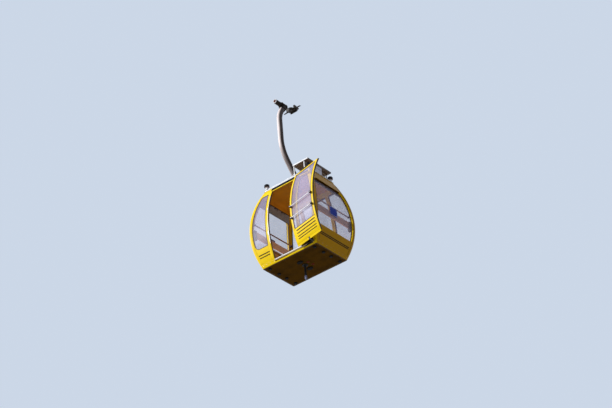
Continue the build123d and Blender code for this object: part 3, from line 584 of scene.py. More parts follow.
def weld_bead(name, at, radius, thick, count):
    """Ring about the local Z of a place, with every other point of its bead thicker."""
    bm = bmesh.new()
    tube(bm, around(at, radius, 0, count), lambda i: thick * (1.0 + 0.22 * (i % 2)), 6, ring=True)
    piece(name, bm, "weld")


# Profiles of fasteners, as (radius, height) in shares of the head's radius
RIVET = ((0, 0.45), (0.5, 0.38), (0.85, 0.2), (1, 0), (0, -0.1))
SCREW = ((0, 0.2), (0.32, 0.2), (0.38, 0.5), (0.78, 0.42), (1, 0.15), (1, 0), (0, -0.1))
WASHER = ((0, 0.2), (1.5, 0.2), (1.6, 0.1), (1.6, 0), (0, -0.1))
HEAD = ((0, 0.95), (0.82, 0.95), (1, 0.8), (1, 0.2), (0, 0.1))
THREAD = ((0, 1.7), (0.5, 1.7), (0.58, 1.6), (0.58, 0.9), (0, 0.8))

# Forms of each kind of fastener, with their number of sides
KINDS = {
    "rivet": ((RIVET, 10),),
    "screw": ((SCREW, 12),),
    "bolt": ((WASHER, 16), (HEAD, 6)),
    "nut": ((WASHER, 16), (HEAD, 6), (THREAD, 10)),
}


def stud(bm, kind, size, point, normal):
    for profile, sides in KINDS[kind]:
        turned(bm, [(r * size, h * size) for r, h in profile], facing(point, normal), sides)


def studs(name, kind, size, spots, look="zinc", body="cabin"):
    """One piece of fasteners of a kind; their size is the radius of a head."""
    bm = bmesh.new()
    for point, normal in spots:
        stud(bm, kind, size, point, normal)
    piece(name, bm, look, body)


# Small gaps that keep trim just off what it lies on or in
SEAT = 0.0003
EDGE = 0.0004
PAINT_GAP = 0.001

# Header track; a strip is (heights, depths of its two faces, steps), a row of screws (pitch, inset)
COVER_BEYOND = 0.040
COVER_GAP = 0.003
GROOVE = (TRACK[0] + EDGE, TRACK[1] - EDGE)
COVER = (GROOVE, (0.005, TRACK_DEPTH - 0.0001), 6)
FLAP = ((DOORWAY_TOP - 0.018, TRACK[0] + 0.003), (-0.0015, -0.0002), 2)
BEADS = ((TRACK[0] + 0.004, 0.0), (TRACK[0] + 0.022, 0.0045), (TRACK[1] - 0.018, 0.0045))
BEAD_RADIUS = 0.004
COVER_SCREWS = (0.12, 0.04)
FILLER = (GROOVE, (0.0002, TRACK_DEPTH - 0.0001), 6)
LIP = ((DOORWAY_TOP - 0.045, DOORWAY_TOP - SEAT), (0.0002, 0.005), 3)
MOULDING = ((TRACK[1] - 0.014, RAIL_TOP - EDGE), (-0.0065, -SEAT), 3)
MOULDING_INSET = 0.030


def header_track():
    """Black cover over the leaf's track, painted filler beyond it and white drip moulding above."""
    left = -DOORWAY_HALF - COVER_BEYOND
    right = reach(END_REACH, TRACK_MIDDLE, SIDE_POST / 2) - COVER_GAP
    bm = bmesh.new()
    slab(bm, "front", (left, right), *COVER)
    slab(bm, "front", (left, DOORWAY_HALF), *FLAP)
    for height, depth in BEADS:
        tube(bm, [wall_point("front", x, height, depth) for x in (left, right)], BEAD_RADIUS, 10)
    piece("track_cover", bm, "rubber_black")
    places = spread(left, right, *COVER_SCREWS)
    spots = [on_wall("front", x, TRACK_MIDDLE, COVER[1][0]) for x in places]
    studs("track_screws", "screw", 0.006, spots, "black_steel")
    half = DOORWAY_HALF - PAINT_GAP
    runs = [("front", (-right - PAINT_GAP, left - PAINT_GAP), *FILLER), ("front", (-half, half), *LIP)]
    strips("track_filler", "body_yellow", runs, bevel=0.001)
    half = reach(END_REACH, RAIL_TOP) - MOULDING_INSET
    strips("drip_moulding", "roof_white", [("front", (-half, half), *MOULDING)], bevel=0.0015)


# Doorway
SEAL_THICK = 0.006
SEAL_GAP = 0.001
SEAL_BACK = 0.029
EDGE_STRIP_SPAN = (-DOORWAY_HALF - 0.012, -DOORWAY_HALF - 0.002)
EDGE_STRIP = ((0.42, 1.62), (-0.0035, -SEAT), 20)
STRIKER_SPAN = (-DOORWAY_HALF - 0.030, -DOORWAY_HALF - 0.006)
STRIKER_FEET = (0.62, 1.22)
STRIKER_TALL = 0.075
STRIKER_DEPTHS = (-0.0055, -EDGE)
STRIKER_SCREWS = (STRIKER_TALL, 0.014)
RIDGE_ROW = (0.006, 0.030, 0.006)
RIDGE_WIDE = 0.003
RIDGE_HALF = 0.352
RIDGE_HEIGHTS = (FLOOR_TOP - 0.0002, FLOOR_TOP + 0.0018)
# Black strip on the wall beside the open leaf, which paints the leaf's shadow there
GUIDE = ((FLOOR_TOP + 0.0005, 0.128), (-0.004, -SEAT), 4)
GUIDE_GAP = 0.004


def doorway_trim():
    """Doorway's rubber, edge strip and strikers, ridges of the sill, and a black strip that paints the open leaf's
    shadow on the wall.
    """
    inner = DOORWAY_HALF - SEAL_THICK
    jamb = (FLOOR_TOP + SEAL_GAP, DOORWAY_TOP - SEAL_GAP)
    edges = [sorted((side * inner, side * (DOORWAY_HALF - SEAT))) for side in BOTH]
    runs = [("front", edge, jamb, (SEAL_THICK, SEAL_BACK), 24) for edge in edges]
    half = inner - SEAL_GAP
    head = (DOORWAY_TOP - SEAL_THICK, DOORWAY_TOP - SEAT)
    runs.append(("front", (-half, half), head, (SEAL_THICK + SEAL_GAP, SEAL_BACK), 2))
    strips("doorway_seal", "seal_rubber", runs)
    runs = [("front", EDGE_STRIP_SPAN, *EDGE_STRIP)]
    strips("doorway_edge_strip", "sill_aluminium", runs, bevel=0.001)
    spans = [(foot, foot + STRIKER_TALL) for foot in STRIKER_FEET]
    runs = [("front", STRIKER_SPAN, span, STRIKER_DEPTHS, 3) for span in spans]
    strips("strikers", "white_frame", runs, bevel=0.0015)
    middle = sum(STRIKER_SPAN) / 2
    heights = [height for span in spans for height in spread(*span, *STRIKER_SCREWS)]
    spots = [on_wall("front", middle, height, STRIKER_DEPTHS[0]) for height in heights]
    studs("striker_screws", "screw", 0.0045, spots)
    bm = bmesh.new()
    for inset in spread(*RIDGE_ROW):
        y = inset - reach(SIDE_REACH, FLOOR_TOP)
        block(bm, (-RIDGE_HALF, RIDGE_HALF), (y, y + RIDGE_WIDE), RIDGE_HEIGHTS)
    piece("sill_ridges", bm, "sill_aluminium")

    def guide(height):
        return DOORWAY_HALF + GUIDE_GAP, reach(END_REACH, height, SIDE_POST) - GUIDE_GAP

    strips("leaf_guide_strip", "rubber_black", [("front", guide, *GUIDE)], bevel=0.001)


# Louvre grooves: height and half width of each
LEAF_LOUVRES = ((0.170, 0.005), (0.220, 0.005), (0.285, 0.006), (0.350, 0.008))
FRONT_LOUVRES = ((0.215, 0.006), (0.270, 0.007))
END_LOUVRES = ((0.215, 0.006), (0.250, 0.007))
LEAF_LOUVRE_SPAN = (-LEAF_HALF + 0.0905, LEAF_HALF - 0.0605)
END_LOUVRE_INSET = 0.030
LOUVRE_GAP = 0.0005
LOUVRE_LIP = 0.003
LOUVRE_LIP_INSET = 0.001
LINER_DEPTHS = (0.0002, 0.0049)
LOUVRE_LIP_DEPTHS = (-0.0014, -0.0001)


def louvres():
    """Dark liners at the bottom of every louvre groove, each with a thin lip."""
    leaf = [("leaf", *LEAF_LOUVRE_SPAN, height, half) for height, half in LEAF_LOUVRES]
    cabin = []
    for height, half in FRONT_LOUVRES:
        low = DOORWAY_HALF + DOOR_POST + LOUVRE_GAP
        high = reach(END_REACH, height, SIDE_POST) - LOUVRE_GAP
        cabin += [("front", low, high, height, half), ("front", -high, -low, height, half)]
    for height, half in END_LOUVRES:
        side = reach(SIDE_REACH, height, END_POST + END_LOUVRE_INSET) - LOUVRE_GAP
        cabin += [(wall, -side, side, height, half) for wall in ENDS]
    sets = (("louvre_liners", "cabin", cabin), ("leaf_louvre_liners", "door_leaf", leaf))
    for name, body, grooves in sets:
        bm = bmesh.new()
        for wall, low, high, height, half in grooves:
            liner = (height - half + EDGE, height + half - EDGE)
            slab(bm, wall, (low, high), liner, LINER_DEPTHS, 2)
            lip = (height - half - LOUVRE_LIP, height + half + LOUVRE_LIP)
            slab(bm, wall, (low + LOUVRE_LIP_INSET, high - LOUVRE_LIP_INSET), lip, LOUVRE_LIP_DEPTHS, 2)
        piece(name, bm, "rubber_black", body)


# Vent slots of the end headers; a plate is half its length, half its height and the reach of its faces
VENT_ROW = (-0.286, 0.286, 0.052)
VENT_DEPTH = 0.008
VENT_BACK = (0.0168, 0.0108, 0.0002, 0.0012)
VENT_BAR = (0.001, 0.0105, 0.0012, 0.0024)
VENT_BAR_PLACES = (-0.008, 0.0, 0.008)


def vent_plate(bm, side, y, size):
    long, tall, *faces = size
    bottom = reach(END_REACH, TRACK_MIDDLE) - VENT_DEPTH
    across = sorted(side * (bottom + face) for face in faces)
    block(bm, across, (y - long, y + long), (TRACK_MIDDLE - tall, TRACK_MIDDLE + tall))


def end_vents():
    """Dark back of each vent slot in the header, with upright bars before it."""
    backs = bmesh.new()
    bars = bmesh.new()
    for side in BOTH:
        for y in spread(*VENT_ROW):
            vent_plate(backs, side, y, VENT_BACK)
            for bar in VENT_BAR_PLACES:
                vent_plate(bars, side, y + bar, VENT_BAR)
    piece("vent_backs", backs, "rubber_black")
    piece("vent_bars", bars, "black_steel")


# Seams between corner posts and end panels
SEAM_HALF = 0.003
SEAM = ((FLOOR_TOP + 0.002, DOORWAY_TOP - 0.002), (-0.0008, 0.003), 30)
SEAM_RIVETS = (0.085, 0.05)
SEAM_RIVET_BESIDE = 0.014


def seams():
    """Dark joint beside each corner post on the end walls, with a row of rivets."""
    runs = []
    spots = []
    for wall in ENDS:
        for side in BOTH:

            def joint(height, side=side):
                middle = side * reach(SIDE_REACH, height, END_POST)
                return middle - SEAM_HALF, middle + SEAM_HALF

            runs.append((wall, joint, *SEAM))
            for height in spread(FLOOR_TOP, DOORWAY_TOP, *SEAM_RIVETS):
                along = side * (reach(SIDE_REACH, height, END_POST) + SEAM_RIVET_BESIDE)
                spots.append(on_wall(wall, along, height))
    strips("corner_seams", "rubber_black", runs)
    studs("corner_rivets", "rivet", 0.0042, spots, "black_steel")


# Screws of the roof's rim and the bottom rim; each wall has the reach that sets its length
WALLS = (("front", END_REACH), ("back", END_REACH), ("left", SIDE_REACH), ("right", SIDE_REACH))
ROOF_SCREWS = (0.12, 0.04)
ROOF_SCREW_HEIGHT = (RAIL_TOP + ROOF_RIM_TOP) / 2
ROOF_SCREW_OUT = 0.008
RIM_SCREWS = (0.13, 0.06)
RIM_SCREW_HEIGHT = 0.05
DOORWAY_SCREW_GAP = 0.03
DOORWAY_SCREW_PITCH = 0.1


def rim_fasteners():
    """Screws of the roof's rim, and of the bottom rim except under the doorway."""
    spots = []
    for wall, across in WALLS:
        half = reach(across, ROOF_RIM_TOP)
        for along in spread(-half, half, *ROOF_SCREWS):
            spots.append(on_wall(wall, along, ROOF_SCREW_HEIGHT, -ROOF_SCREW_OUT))
    studs("roof_rim_screws", "screw", 0.006, spots)
    places = []
    for wall, across in WALLS[1:]:
        half = reach(across, RIM_SCREW_HEIGHT)
        places += [(wall, along) for along in spread(-half, half, *RIM_SCREWS)]
    start = -reach(END_REACH, RIM_SCREW_HEIGHT) + RIM_SCREWS[1]
    row = spread(start, -DOORWAY_HALF - DOORWAY_SCREW_GAP, DOORWAY_SCREW_PITCH)
    places += [("front", along) for along in row]
    spots = [on_wall(wall, along, RIM_SCREW_HEIGHT) for wall, along in places]
    studs("bottom_rim_screws", "screw", 0.005, spots)


# Number plates, left blank; the outline's corners are rounded about their centres
PLATE_HEIGHT = 0.905
PLATE_DEPTH = 0.0437
PLATE_OUTLINE = rounded(0.100, 0.085, 0.012, 4)
PLATE_BORDER = 0.0018
PLATE_SCREWS = [(y, z) for y in (-0.098, 0.098) for z in (-0.083, 0.083)]


def plate_trim():
    """Thin border and four screws on the blank plate of each end."""
    bm = bmesh.new()
    for wall in ENDS:
        path = [wall_point(wall, y, PLATE_HEIGHT + z, PLATE_DEPTH) for y, z in PLATE_OUTLINE]
        tube(bm, path, PLATE_BORDER, 6, ring=True)
    piece("plate_borders", bm, "sill_aluminium")
    spots = [on_wall(wall, y, PLATE_HEIGHT + z, PLATE_DEPTH) for wall in ENDS for y, z in PLATE_SCREWS]
    studs("plate_screws", "screw", 0.0055, spots)


# Underside; profiles are (radius, height) points
PAN_INSET = 0.055
PAN_PITCH = 0.12
PAN_END_INSET = 0.1
FEET = [(side * 0.5896, y) for side in BOTH for y in (-0.4046, -0.12, 0.12, 0.4046)]
FOOT_TALL = 0.022
FLANGE_THICK = 0.014
FLANGE_BOLT_RADIUS = 0.045
DRAINS = ((0.117, -0.044), (0.138, 0.089))
DRAIN_PLUG = ((0, 0.006), (0.020, 0.006), (0.030, 0.002), (0.032, 0), (0, -0.001))
PIN_END = 0.345
PIN_SHOE = (
    (0, 0.003), (0.014, 0.003), (0.0205, -0.002), (0.0232, -0.012),
    (0.0232, -0.085), (0.0222, -0.087), (0, -0.087),
)
PIN_NUT = ((0, 0.010), (0.026, 0.010), (0.028, 0.008), (0.028, 0), (0, 0))
# A round nut at the flange and a six-sided one under it: drop and sides
PIN_NUTS = ((0.0, 24), (0.018, 6))


def under_floor():
    """Pan screws, foot and flange bolts, drain plugs, and the guide pin's nuts and shoe."""
    length = reach(END_REACH, 0) - PAN_INSET
    width = reach(SIDE_REACH, 0) - PAN_INSET
    places = [(x, side * width) for side in BOTH for x in spread(-length, length, PAN_PITCH)]
    row = spread(-width, width, PAN_PITCH, PAN_END_INSET)
    places += [(side * length, y) for side in BOTH for y in row]
    studs("pan_screws", "screw", 0.007, [(above(x, y, 0), DOWN) for x, y in places], "black_steel")
    spots = [(above(x, y, -FOOT_TALL), DOWN) for x, y in FEET]
    studs("foot_bolts", "bolt", 0.010, spots, "black_steel")
    flange = Matrix.Translation(above(0, 0, -FLANGE_THICK))
    spots = [(point, DOWN) for point in around(flange, FLANGE_BOLT_RADIUS, 0, 6)]
    studs("flange_bolts", "bolt", 0.007, spots, "black_steel")
    forms = [(DRAIN_PLUG, facing(above(x, y, 0), DOWN), 20) for x, y in DRAINS]
    turnings("drain_plugs", "primer_red", forms)
    turnings("guide_pin_shoe", "shoe_blue", [(PIN_SHOE, facing(above(0, 0, -PIN_END), DOWN), 24)])
    forms = [(PIN_NUT, facing(above(0, 0, -FLANGE_THICK - drop), DOWN), sides) for drop, sides in PIN_NUTS]
    turnings("guide_pin_nut", "black_steel", forms)


# Inside; a catch's path is out from the wall, along it and up
MAT = ((-0.462, 0.462), (-0.44, 0.44), (FLOOR_TOP + 0.0001, FLOOR_TOP + 0.005))
SLAT_STARTS = (0.472, 0.685, 0.071)
SLAT_WIDE = 0.058
SLAT_HALF = 0.545
SLAT_HEIGHTS = (BENCH_TOP + 0.0002, BENCH_TOP + 0.007)
BENCH_EDGE = 0.4485
BENCH_EDGE_HALF = 0.56
BENCH_EDGE_HEIGHT = BENCH_TOP - 0.030
BENCH_EDGE_RADIUS = 0.006
BACKREST_SCREWS = [(y, height) for y in (-0.5, -0.25, 0.25, 0.5) for height in (0.79, 0.885)]
BACKREST_DEPTH = 0.110
VENT_FACE = 0.0715
CATCHES = (-0.26, -0.04, 0.18)
CATCH_HEIGHT = 1.672
CATCH_PATH = (
    (0.0, 0.0, 0.0), (0.016, 0.010, 0.004), (0.030, 0.020, -0.006),
    (0.036, 0.030, -0.022), (0.030, 0.040, -0.036), (0.018, 0.050, -0.040),
)
CATCH_RADIUS = 0.006
CATCH_PLATE = ((1.655, 1.688), (VENT_FACE + 0.0001, 0.0750), 1)
CATCH_PLATE_HALF = 0.018
VENT_EDGES = ((1.684, 1.694), (1.527, 1.534))
VENT_EDGE_DEPTHS = (VENT_FACE + 0.0001, 0.0745)
VENT_EDGE_GAP = 0.002
CEILING_REACH = 0.36
CEILING_PITCH = 0.18
CEILING_VENT = ((0, 0.010), (0.050, 0.010), (0.062, 0.004), (0.064, 0), (0, -0.001))


def seating():
    """Floor mat, and the slats and front edges of the benches."""
    bm = bmesh.new()
    block(bm, *MAT)
    piece("floor_mat", bm, "mat_rubber", bevel=0.0015)
    slats = bmesh.new()
    edges = bmesh.new()
    for side in BOTH:
        for start in spread(*SLAT_STARTS):
            across = sorted((side * start, side * (start + SLAT_WIDE)))
            block(slats, across, (-SLAT_HALF, SLAT_HALF), SLAT_HEIGHTS)
        ends = (-BENCH_EDGE_HALF, BENCH_EDGE_HALF)
        line = [above(side * BENCH_EDGE, y, BENCH_EDGE_HEIGHT) for y in ends]
        tube(edges, line, BENCH_EDGE_RADIUS, 10)
    piece("bench_slats", slats, "bench_tan", bevel=0.003)
    piece("bench_edge_trim", edges, "sill_aluminium")


def vent_catches():
    """Three bent catches with their plates on the vent panel over each end's window."""
    bm = bmesh.new()
    for wall, inward in ENDS.items():
        for y in CATCHES:
            face = wall_point(wall, y, CATCH_HEIGHT, VENT_FACE)
            path = [face + inward * out + Vector((0, along, rise)) for out, along, rise in CATCH_PATH]
            tube(bm, path, CATCH_RADIUS, 8)
            slab(bm, wall, (y - CATCH_PLATE_HALF, y + CATCH_PLATE_HALF), *CATCH_PLATE)
    piece("vent_catches", bm, "black_plastic", bevel=0.0008)


def inside():
    """Backrest screws, vent panel edges, and the ceiling's screws and vent."""
    spots = [
        (wall_point(wall, y, height, BACKREST_DEPTH), inward)
        for wall, inward in ENDS.items()
        for y, height in BACKREST_SCREWS
    ]
    studs("backrest_screws", "screw", 0.008, spots)

    def between_posts(height):
        half = reach(SIDE_REACH, height, END_POST + VENT_EDGE_GAP)
        return -half, half

    runs = [(wall, between_posts, heights, VENT_EDGE_DEPTHS, 1) for wall in ENDS for heights in VENT_EDGES]
    strips("vent_panel_edges", "rubber_black", runs)
    row = spread(-CEILING_REACH, CEILING_REACH, CEILING_PITCH)
    spots = [(above(x, side * CEILING_REACH, DOORWAY_TOP - 0.0002), DOWN) for x in row for side in BOTH]
    studs("ceiling_screws", "screw", 0.006, spots, "rail_brown")
    turnings("ceiling_vent", "black_plastic", [(CEILING_VENT, facing(above(0, 0, DOORWAY_TOP), DOWN), 28)])


# Hanger: its foot with the lean of the tube there, and the socket under the eye
BASE_TOP = ROOF_CROWN + 0.014
BASE_NUTS = [(x, y) for x in (-0.122, 0.122) for y in (-0.086, 0.086)]
HANGER_FOOT = above(0.0, -0.035, ROOF_CROWN + 0.050)
HANGER_LEAN = Vector((0.0, -0.452, 0.613)).normalized()
HANGER_TOP = EYE + Vector((0.0, 0.0, -0.040))
HANGER_DROP = Vector((0.0, -0.151, -0.270)).normalized()
BASE_WELD_RISE = 0.001
CUP_TOP = 0.096
# Welds: radius of the ring, thickness of its bead and points
BASE_WELD = (0.0835, 0.0048, 72)
CUP_WELD = (0.0625, 0.0045, 56)
SOCKET = (
    (0, 0.0), (0.066, 0.0), (0.0675, 0.003), (0.0675, 0.068), (0.0655, 0.070), (0.0605, 0.071), (0, 0.071),
)
SOCKET_BAND = ((0, 0.052), (0.070, 0.052), (0.0712, 0.054), (0.0712, 0.064), (0.070, 0.066), (0, 0.066))
SOCKET_BOLT_RADIUS = 0.0672
SOCKET_BOLT_HEIGHT = 0.032
EYE_HALF = 0.066
EYE_FLANGE = ((0.0655, 0.004), (0.069, 0.003), (0.0705, 0), (0.0705, -0.007), (0.0655, -0.009))


def hanger_fittings():
    """Nuts and welds of the foot, the tube's bolted socket and the eye's flanges."""
    studs("base_nuts", "nut", 0.015, [(above(x, y, BASE_TOP), UP) for x, y in BASE_NUTS])
    drop = HANGER_FOOT.z + ROPE_HEIGHT - BASE_TOP
    centre = above(0, HANGER_FOOT.y - HANGER_LEAN.y / HANGER_LEAN.z * drop, BASE_TOP + BASE_WELD_RISE)
    slanted = Matrix.Translation(centre) @ Matrix.Diagonal((1, 1 / HANGER_LEAN.z, 1, 1))
    weld_bead("base_weld", slanted, *BASE_WELD)
    weld_bead("cup_weld", facing(HANGER_FOOT + HANGER_LEAN * CUP_TOP, HANGER_LEAN), *CUP_WELD)
    at = facing(HANGER_TOP, HANGER_DROP)
    turnings("tube_socket", "grip_steel", [(SOCKET, at, 40), (SOCKET_BAND, at, 40)])
    middle = at @ Vector((0, 0, SOCKET_BOLT_HEIGHT))
    points = around(at, SOCKET_BOLT_RADIUS, SOCKET_BOLT_HEIGHT, 4, start=pi / 4)
    spots = [(point, (point - middle).normalized()) for point in points]
    studs("socket_bolts", "bolt", 0.008, spots, "black_steel")
    bm = bmesh.new()
    for side in BOTH:
        collar(bm, EYE_FLANGE, facing(EYE + AHEAD * side * EYE_HALF, AHEAD))
    piece("eye_flanges", bm, "grip_steel")


# Roof platform and box
TREAD_PITCH = 0.045
TREAD_MARGIN = 0.006
TREAD_RISE = 0.0008
TREAD_RADIUS = 0.0016
PLATFORM_SCREWS = (0.18, 0.03)
PLATFORM_SCREW_INSET = 0.015
LEG_INSETS = (0.394, 0.121)
LEG_FOOT_HALF = (0.032, 0.020)
LEG_FOOT_HEIGHTS = (ROOF_RIM_TOP - 0.001, ROOF_RIM_TOP + 0.014)
LEG_LINE_INSET = 0.002
LEG_BOLT = 0.022
BOX_CORNER = 0.010
BOX_SEAM_OUT = 0.0005
BOX_SEAM_RADIUS = 0.002
BOX_SEAM_RISE = 0.125
BOX_SEAM_DROP = 0.012
BOX_SCREW_RISE = 0.110
BOX_SCREW_INSET = 0.03


def crossings(width, depth, total):
    """Where the line x + y = total crosses the edges of a rectangle."""
    ends = [(x, total - x) for x in (0.0, width) if 0 <= total - x <= depth]
    return ends + [(total - y, y) for y in (0.0, depth) if 0 < total - y < width]


def platform_tread():
    """Raised lines that run slantwise both ways over the platform's slab."""
    low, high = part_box("platform_slab")
    left, front, top = low.x + TREAD_MARGIN, low.y + TREAD_MARGIN, high.z + TREAD_RISE
    width = high.x - low.x - 2 * TREAD_MARGIN
    depth = high.y - low.y - 2 * TREAD_MARGIN
    bm = bmesh.new()
    for number in range(1, int((width + depth) / TREAD_PITCH)):
        ends = crossings(width, depth, number * TREAD_PITCH)
        for line in (ends, [(x, depth - y) for x, y in ends]):
            tube(bm, [Vector((left + x, front + y, top)) for x, y in line], TREAD_RADIUS, 5)
    piece("platform_tread", bm, "zinc")


def platform_fittings():
    """Screws of the platform's frame, and the bolted feet of its four legs."""
    low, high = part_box("platform_frame")
    sides = (low.x + PLATFORM_SCREW_INSET, high.x - PLATFORM_SCREW_INSET)
    row = spread(low.y, high.y, *PLATFORM_SCREWS)
    studs("platform_screws", "screw", 0.006, [(Vector((x, y, high.z)), UP) for x in sides for y in row])
    half_x, half_y = LEG_FOOT_HALF
    line = reach(SIDE_REACH, ROOF_RIM_TOP) - LEG_LINE_INSET
    bm = bmesh.new()
    spots = []
    for inset in LEG_INSETS:
        x = reach(END_REACH, ROOF_RIM_TOP) - inset
        for y in (-line, line):
            block(bm, (x - half_x, x + half_x), (y - half_y, y + half_y), LEG_FOOT_HEIGHTS)
            spots += [(above(x + apart, y, LEG_FOOT_HEIGHTS[1]), UP) for apart in (-LEG_BOLT, LEG_BOLT)]
    piece("leg_feet", bm, "white_frame", bevel=0.002)
    studs("leg_bolts", "bolt", 0.006, spots)


def box_fittings():
    """Two seams round the roof's box and a pair of screws on each end of it."""
    low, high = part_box("roof_box")
    middle = (low + high) / 2
    half = (high - low) / 2
    outline = rounded(half.x - BOX_CORNER, half.y - BOX_CORNER, BOX_CORNER + BOX_SEAM_OUT, 3)
    bm = bmesh.new()
    for z in (low.z + BOX_SEAM_RISE, high.z - BOX_SEAM_DROP):
        path = [Vector((middle.x + x, middle.y + y, z)) for x, y in outline]
        tube(bm, path, BOX_SEAM_RADIUS, 6, ring=True)
    piece("box_seams", bm, "black_plastic")
    spots = [
        (Vector((x, y, low.z + BOX_SCREW_RISE)), out)
        for x, out in ((low.x, -RIGHT), (high.x, RIGHT))
        for y in (low.y + BOX_SCREW_INSET, high.y - BOX_SCREW_INSET)
    ]
    studs("box_screws", "screw", 0.006, spots)


# Guide rollers on the roof's corners
ROLLER_NUT_RISE = 0.006
TREAD_INSET = 0.018
TREAD_HOOP = (0.0552, 0.0016, 36, 6)
HUB_FACE = 0.0022
HUB = ((0.0145, -0.001), (0.0145, HUB_FACE), (0.036, HUB_FACE), (0.040, 0.0008), (0.040, -0.001))
HUB_RIVETS = 5
HUB_RIVET = 0.004
HUB_RIVET_CIRCLE = 0.027


def roller_fittings():
    """Tread rings, riveted hubs and top nuts of the four corner rollers."""
    tops = []
    for end in ENDS:
        for side in ("front", "back"):
            body = f"roller_{side}_{end}"
            low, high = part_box(body)
            middle = (low + high) / 2
            top = Vector((middle.x, middle.y, high.z))
            bottom = Vector((middle.x, middle.y, low.z))
            tops.append((top + UP * ROLLER_NUT_RISE, UP))
            centres = (bottom + UP * TREAD_INSET, middle, top - UP * TREAD_INSET)
            hoops(f"tread_{side}_{end}", "roller_black", TREAD_HOOP, centres, UP, body)
            bm = bmesh.new()
            for point, normal in ((top, UP), (bottom, DOWN)):
                at = facing(point, normal)
                collar(bm, HUB, at)
                for spot in around(at, HUB_RIVET_CIRCLE, HUB_FACE, HUB_RIVETS):
                    stud(bm, "rivet", HUB_RIVET, spot, normal)
            piece(f"hub_{side}_{end}", bm, "hub_pink", body)
    studs("roller_nuts", "nut", 0.0125, tops)


# Door leaf; the pull's path is height and depth
LEAF_RIVET_INSET = 0.012
LEAF_RIVETS = (0.44, 1.74, 0.13)
BAR_SCREW_INSET = 0.047
BAR_HEIGHTS = (0.655, 0.925)
BAR_BRACKET_OUT = 0.0505
LEAF_PIN_TOP = 1.868
ARM_PIN_END = 1.846
SKIRT = ((LEAF_LOW - 0.044, LEAF_LOW - SEAT), (0.0008, 0.0050), 3)
SKIRT_INSET = 0.003
SKIRT_SLOT = 0.021
PULL_PLACE = -0.331
PULL_PATH = ((1.02, 0.036), (1.03, 0.062), (1.06, 0.070), (1.13, 0.070), (1.16, 0.062), (1.17, 0.036))
PULL_RADIUS = 0.0065


def leaf_fittings():
    """Rivets, bar screws and pin ends of the leaf, the skirt under it and its inner pull."""
    stile = LEAF_HALF - LEAF_RIVET_INSET
    heights = spread(*LEAF_RIVETS)
    spots = [on_wall("leaf", side * stile, height) for side in BOTH for height in heights]
    studs("leaf_rivets", "rivet", 0.004, spots, "zinc", "door_leaf")
    bracket = LEAF_HALF - BAR_SCREW_INSET
    places = [(side * bracket, height) for height in BAR_HEIGHTS for side in BOTH]
    spots = [on_wall("leaf", *spot, -BAR_BRACKET_OUT) for spot in places]
    studs("bar_screws", "screw", 0.006, spots, "zinc", "door_leaf")
    spots = [(above(LEAF_OPEN.x, LEAF_OPEN.y, LEAF_PIN_TOP), UP)]
    studs("leaf_pin_nut", "bolt", 0.008, spots, "black_steel", "door_leaf")
    spots = [(above(ARM_PIVOT.x, ARM_PIVOT.y, ARM_PIN_END), DOWN)]
    studs("arm_pin_cap", "bolt", 0.008, spots, "black_steel")
    far = LEAF_HALF - SKIRT_INSET
    runs = [("leaf", span, *SKIRT) for span in ((-far, -SKIRT_SLOT), (SKIRT_SLOT, far))]
    strips("leaf_skirt", "body_yellow", runs, bevel=0.0012, body="door_leaf")
    bm = bmesh.new()
    tube(bm, [wall_point("leaf", PULL_PLACE, *spot) for spot in PULL_PATH], PULL_RADIUS, 10)
    piece("leaf_pull", bm, "black_plastic", "door_leaf")


# Grip; the spring's housing runs along the line of the eye's shaft
HEAD_BOLTS = ((-0.145, -0.070), (-0.145, -0.026), (-0.095, -0.026))
HEAD_HALF = 0.050
JAW_PIN_HALF = 0.090
SPRING_ROW = (0.440, 0.570, 0.026)
SPRING_HOOP = (0.0478, 0.0028, 40, 8)
SPRING_END = -0.592
END_RING = ((0.0365, -0.001), (0.0365, 0.0155), (0.043, 0.0155), (0.0465, 0.011), (0.0465, -0.001))
END_DISC = ((0, 0.017), (0.016, 0.017), (0.024, 0.0165), (0.033, 0.0148), (0.033, 0.0138), (0, 0.0138))
LEVER_NUT_OUT = 0.021
LEVER_ROLLER_HALF = 0.013
LEVER_HOOP = (0.0292, 0.0015, 28, 6)


def grip_fittings():
    """Bolts of the head, nuts of the jaw's pin, the spring's ribs and end, and the lever's roller."""
    spots = [(Vector((side * HEAD_HALF, y, z)), RIGHT * side) for side in BOTH for y, z in HEAD_BOLTS]
    studs("head_bolts", "bolt", 0.008, spots, "black_steel", "grip")
    spots = [(JAW_PIVOT + RIGHT * side * JAW_PIN_HALF, RIGHT * side) for side in BOTH]
    studs("pivot_nuts", "nut", 0.010, spots, "zinc", "grip")
    centres = [Vector((0, -ahead, EYE.z)) for ahead in spread(*SPRING_ROW)]
    hoops("spring_ribs", "grip_steel", SPRING_HOOP, centres, -AHEAD, "grip")
    at = facing(Vector((0, SPRING_END, EYE.z)), AHEAD)
    bm = bmesh.new()
    collar(bm, END_RING, at)
    piece("spring_end_ring", bm, "roof_white", "grip")
    turnings("spring_end_disc", "primer_red", [(END_DISC, at, 32)], "grip")
    spots = [(at @ Vector((0, 0, END_DISC[0][1])), AHEAD)]
    studs("spring_end_bolt", "bolt", 0.008, spots, "black_steel", "grip")
    spots = [(LEVER_PIN + RIGHT * LEVER_NUT_OUT, RIGHT)]
    studs("lever_nut", "bolt", 0.008, spots, "zinc", "moving_jaw")
    centres = [LEVER_PIN + RIGHT * side * LEVER_ROLLER_HALF for side in BOTH]
    hoops("lever_roller_edges", "hub_pink", LEVER_HOOP, centres, RIGHT, "lever_roller")


header_track()
doorway_trim()
louvres()
end_vents()
seams()
rim_fasteners()
plate_trim()
under_floor()
seating()
vent_catches()
inside()
hanger_fittings()
platform_tread()
platform_fittings()
box_fittings()
roller_fittings()
leaf_fittings()
grip_fittings()

# Studio


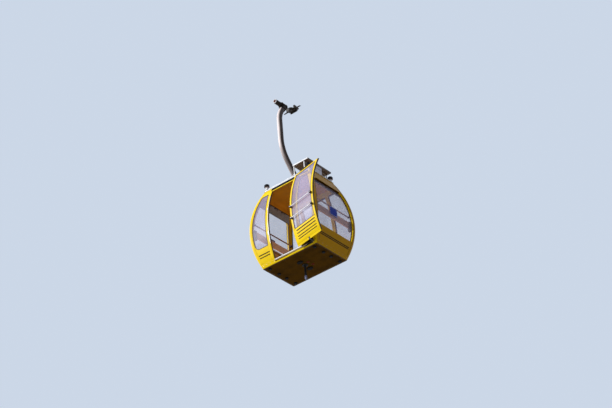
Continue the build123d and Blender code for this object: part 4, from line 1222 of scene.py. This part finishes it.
def add_camera(studio):
    data = bpy.data.cameras.new("camera")
    data.lens = CAMERA_LENS
    data.shift_x, data.shift_y = CAMERA_SHIFT
    camera = bpy.data.objects.new("camera", data)
    studio.collection.objects.link(camera)
    aim = (-CAMERA_OFFSET).to_track_quat("-Z", "Y").to_matrix().to_4x4()
    roll = Matrix.Rotation(CAMERA_ROLL, 4, "Z")
    camera.matrix_world = Matrix.Translation(AIM + CAMERA_OFFSET) @ aim @ roll
    studio.camera = camera


def add_sun(studio):
    data = bpy.data.lights.new("sun", "SUN")
    data.energy = SUN_STRENGTH
    data.angle = SUN_ANGLE
    sun = bpy.data.objects.new("sun", data)
    sun.rotation_euler = SUN_FROM.to_track_quat("Z", "Y").to_euler()
    studio.collection.objects.link(sun)


def add_world(studio):
    """Pale backdrop for the rays that see it, and a soft grey sky for the light."""
    world = bpy.data.worlds.new("studio")
    world.use_nodes = True
    studio.world = world
    tree = world.node_tree
    tree.nodes.clear()
    up, across = (part_of(tree, "Generated", axis) for axis in "ZX")
    rise = ramp(tree, up, -HORIZON_SLOPE, HORIZON_SLOPE, GROUND_LIGHT, SKY_LIGHT)
    share = ramp(tree, across, -SIDE_SLOPE, SIDE_SLOPE, LEFT_SHARE, RIGHT_SHARE)
    level = sums(tree, "MULTIPLY", rise, share)
    grey = node(tree, "CombineColor", {"Red": level, "Green": level, "Blue": level})
    background = node(tree, "Background", {"Color": mixed(tree, background_seen(tree), grey, BACKDROP)})
    out = tree.nodes.new("ShaderNodeOutputWorld")
    tree.links.new(background, out.inputs[0])


def add_floor(studio):
    """Wide pale floor just under the camera, darker to the light that it throws back."""
    level = studio.camera.matrix_world.translation.z - FLOOR_BELOW_CAMERA
    outline = ((-1, -1), (1, -1), (1, 1), (-1, 1))
    mesh = bpy.data.meshes.new("floor")
    mesh.from_pydata([(x * FLOOR_HALF, y * FLOOR_HALF, level) for x, y in outline], [], [(0, 1, 2, 3)])
    floor = bpy.data.objects.new("floor", mesh)
    studio.collection.objects.link(floor)
    material, tree, shader = blank_material("floor_pale")
    patches = ramp(tree, noise(tree, 0.05), 0.3, 0.7)
    seen = mixed(tree, patches, *FLOOR_SEEN)
    linked(tree, shader.inputs["Base Color"], mixed(tree, background_seen(tree), FLOOR_LIT, seen))
    shader.inputs["Roughness"].default_value = 0.9
    floor.data.materials.append(material)


studio = bpy.context.scene
studio.view_settings.view_transform = "Standard"
add_camera(studio)
add_sun(studio)
add_world(studio)
add_floor(studio)
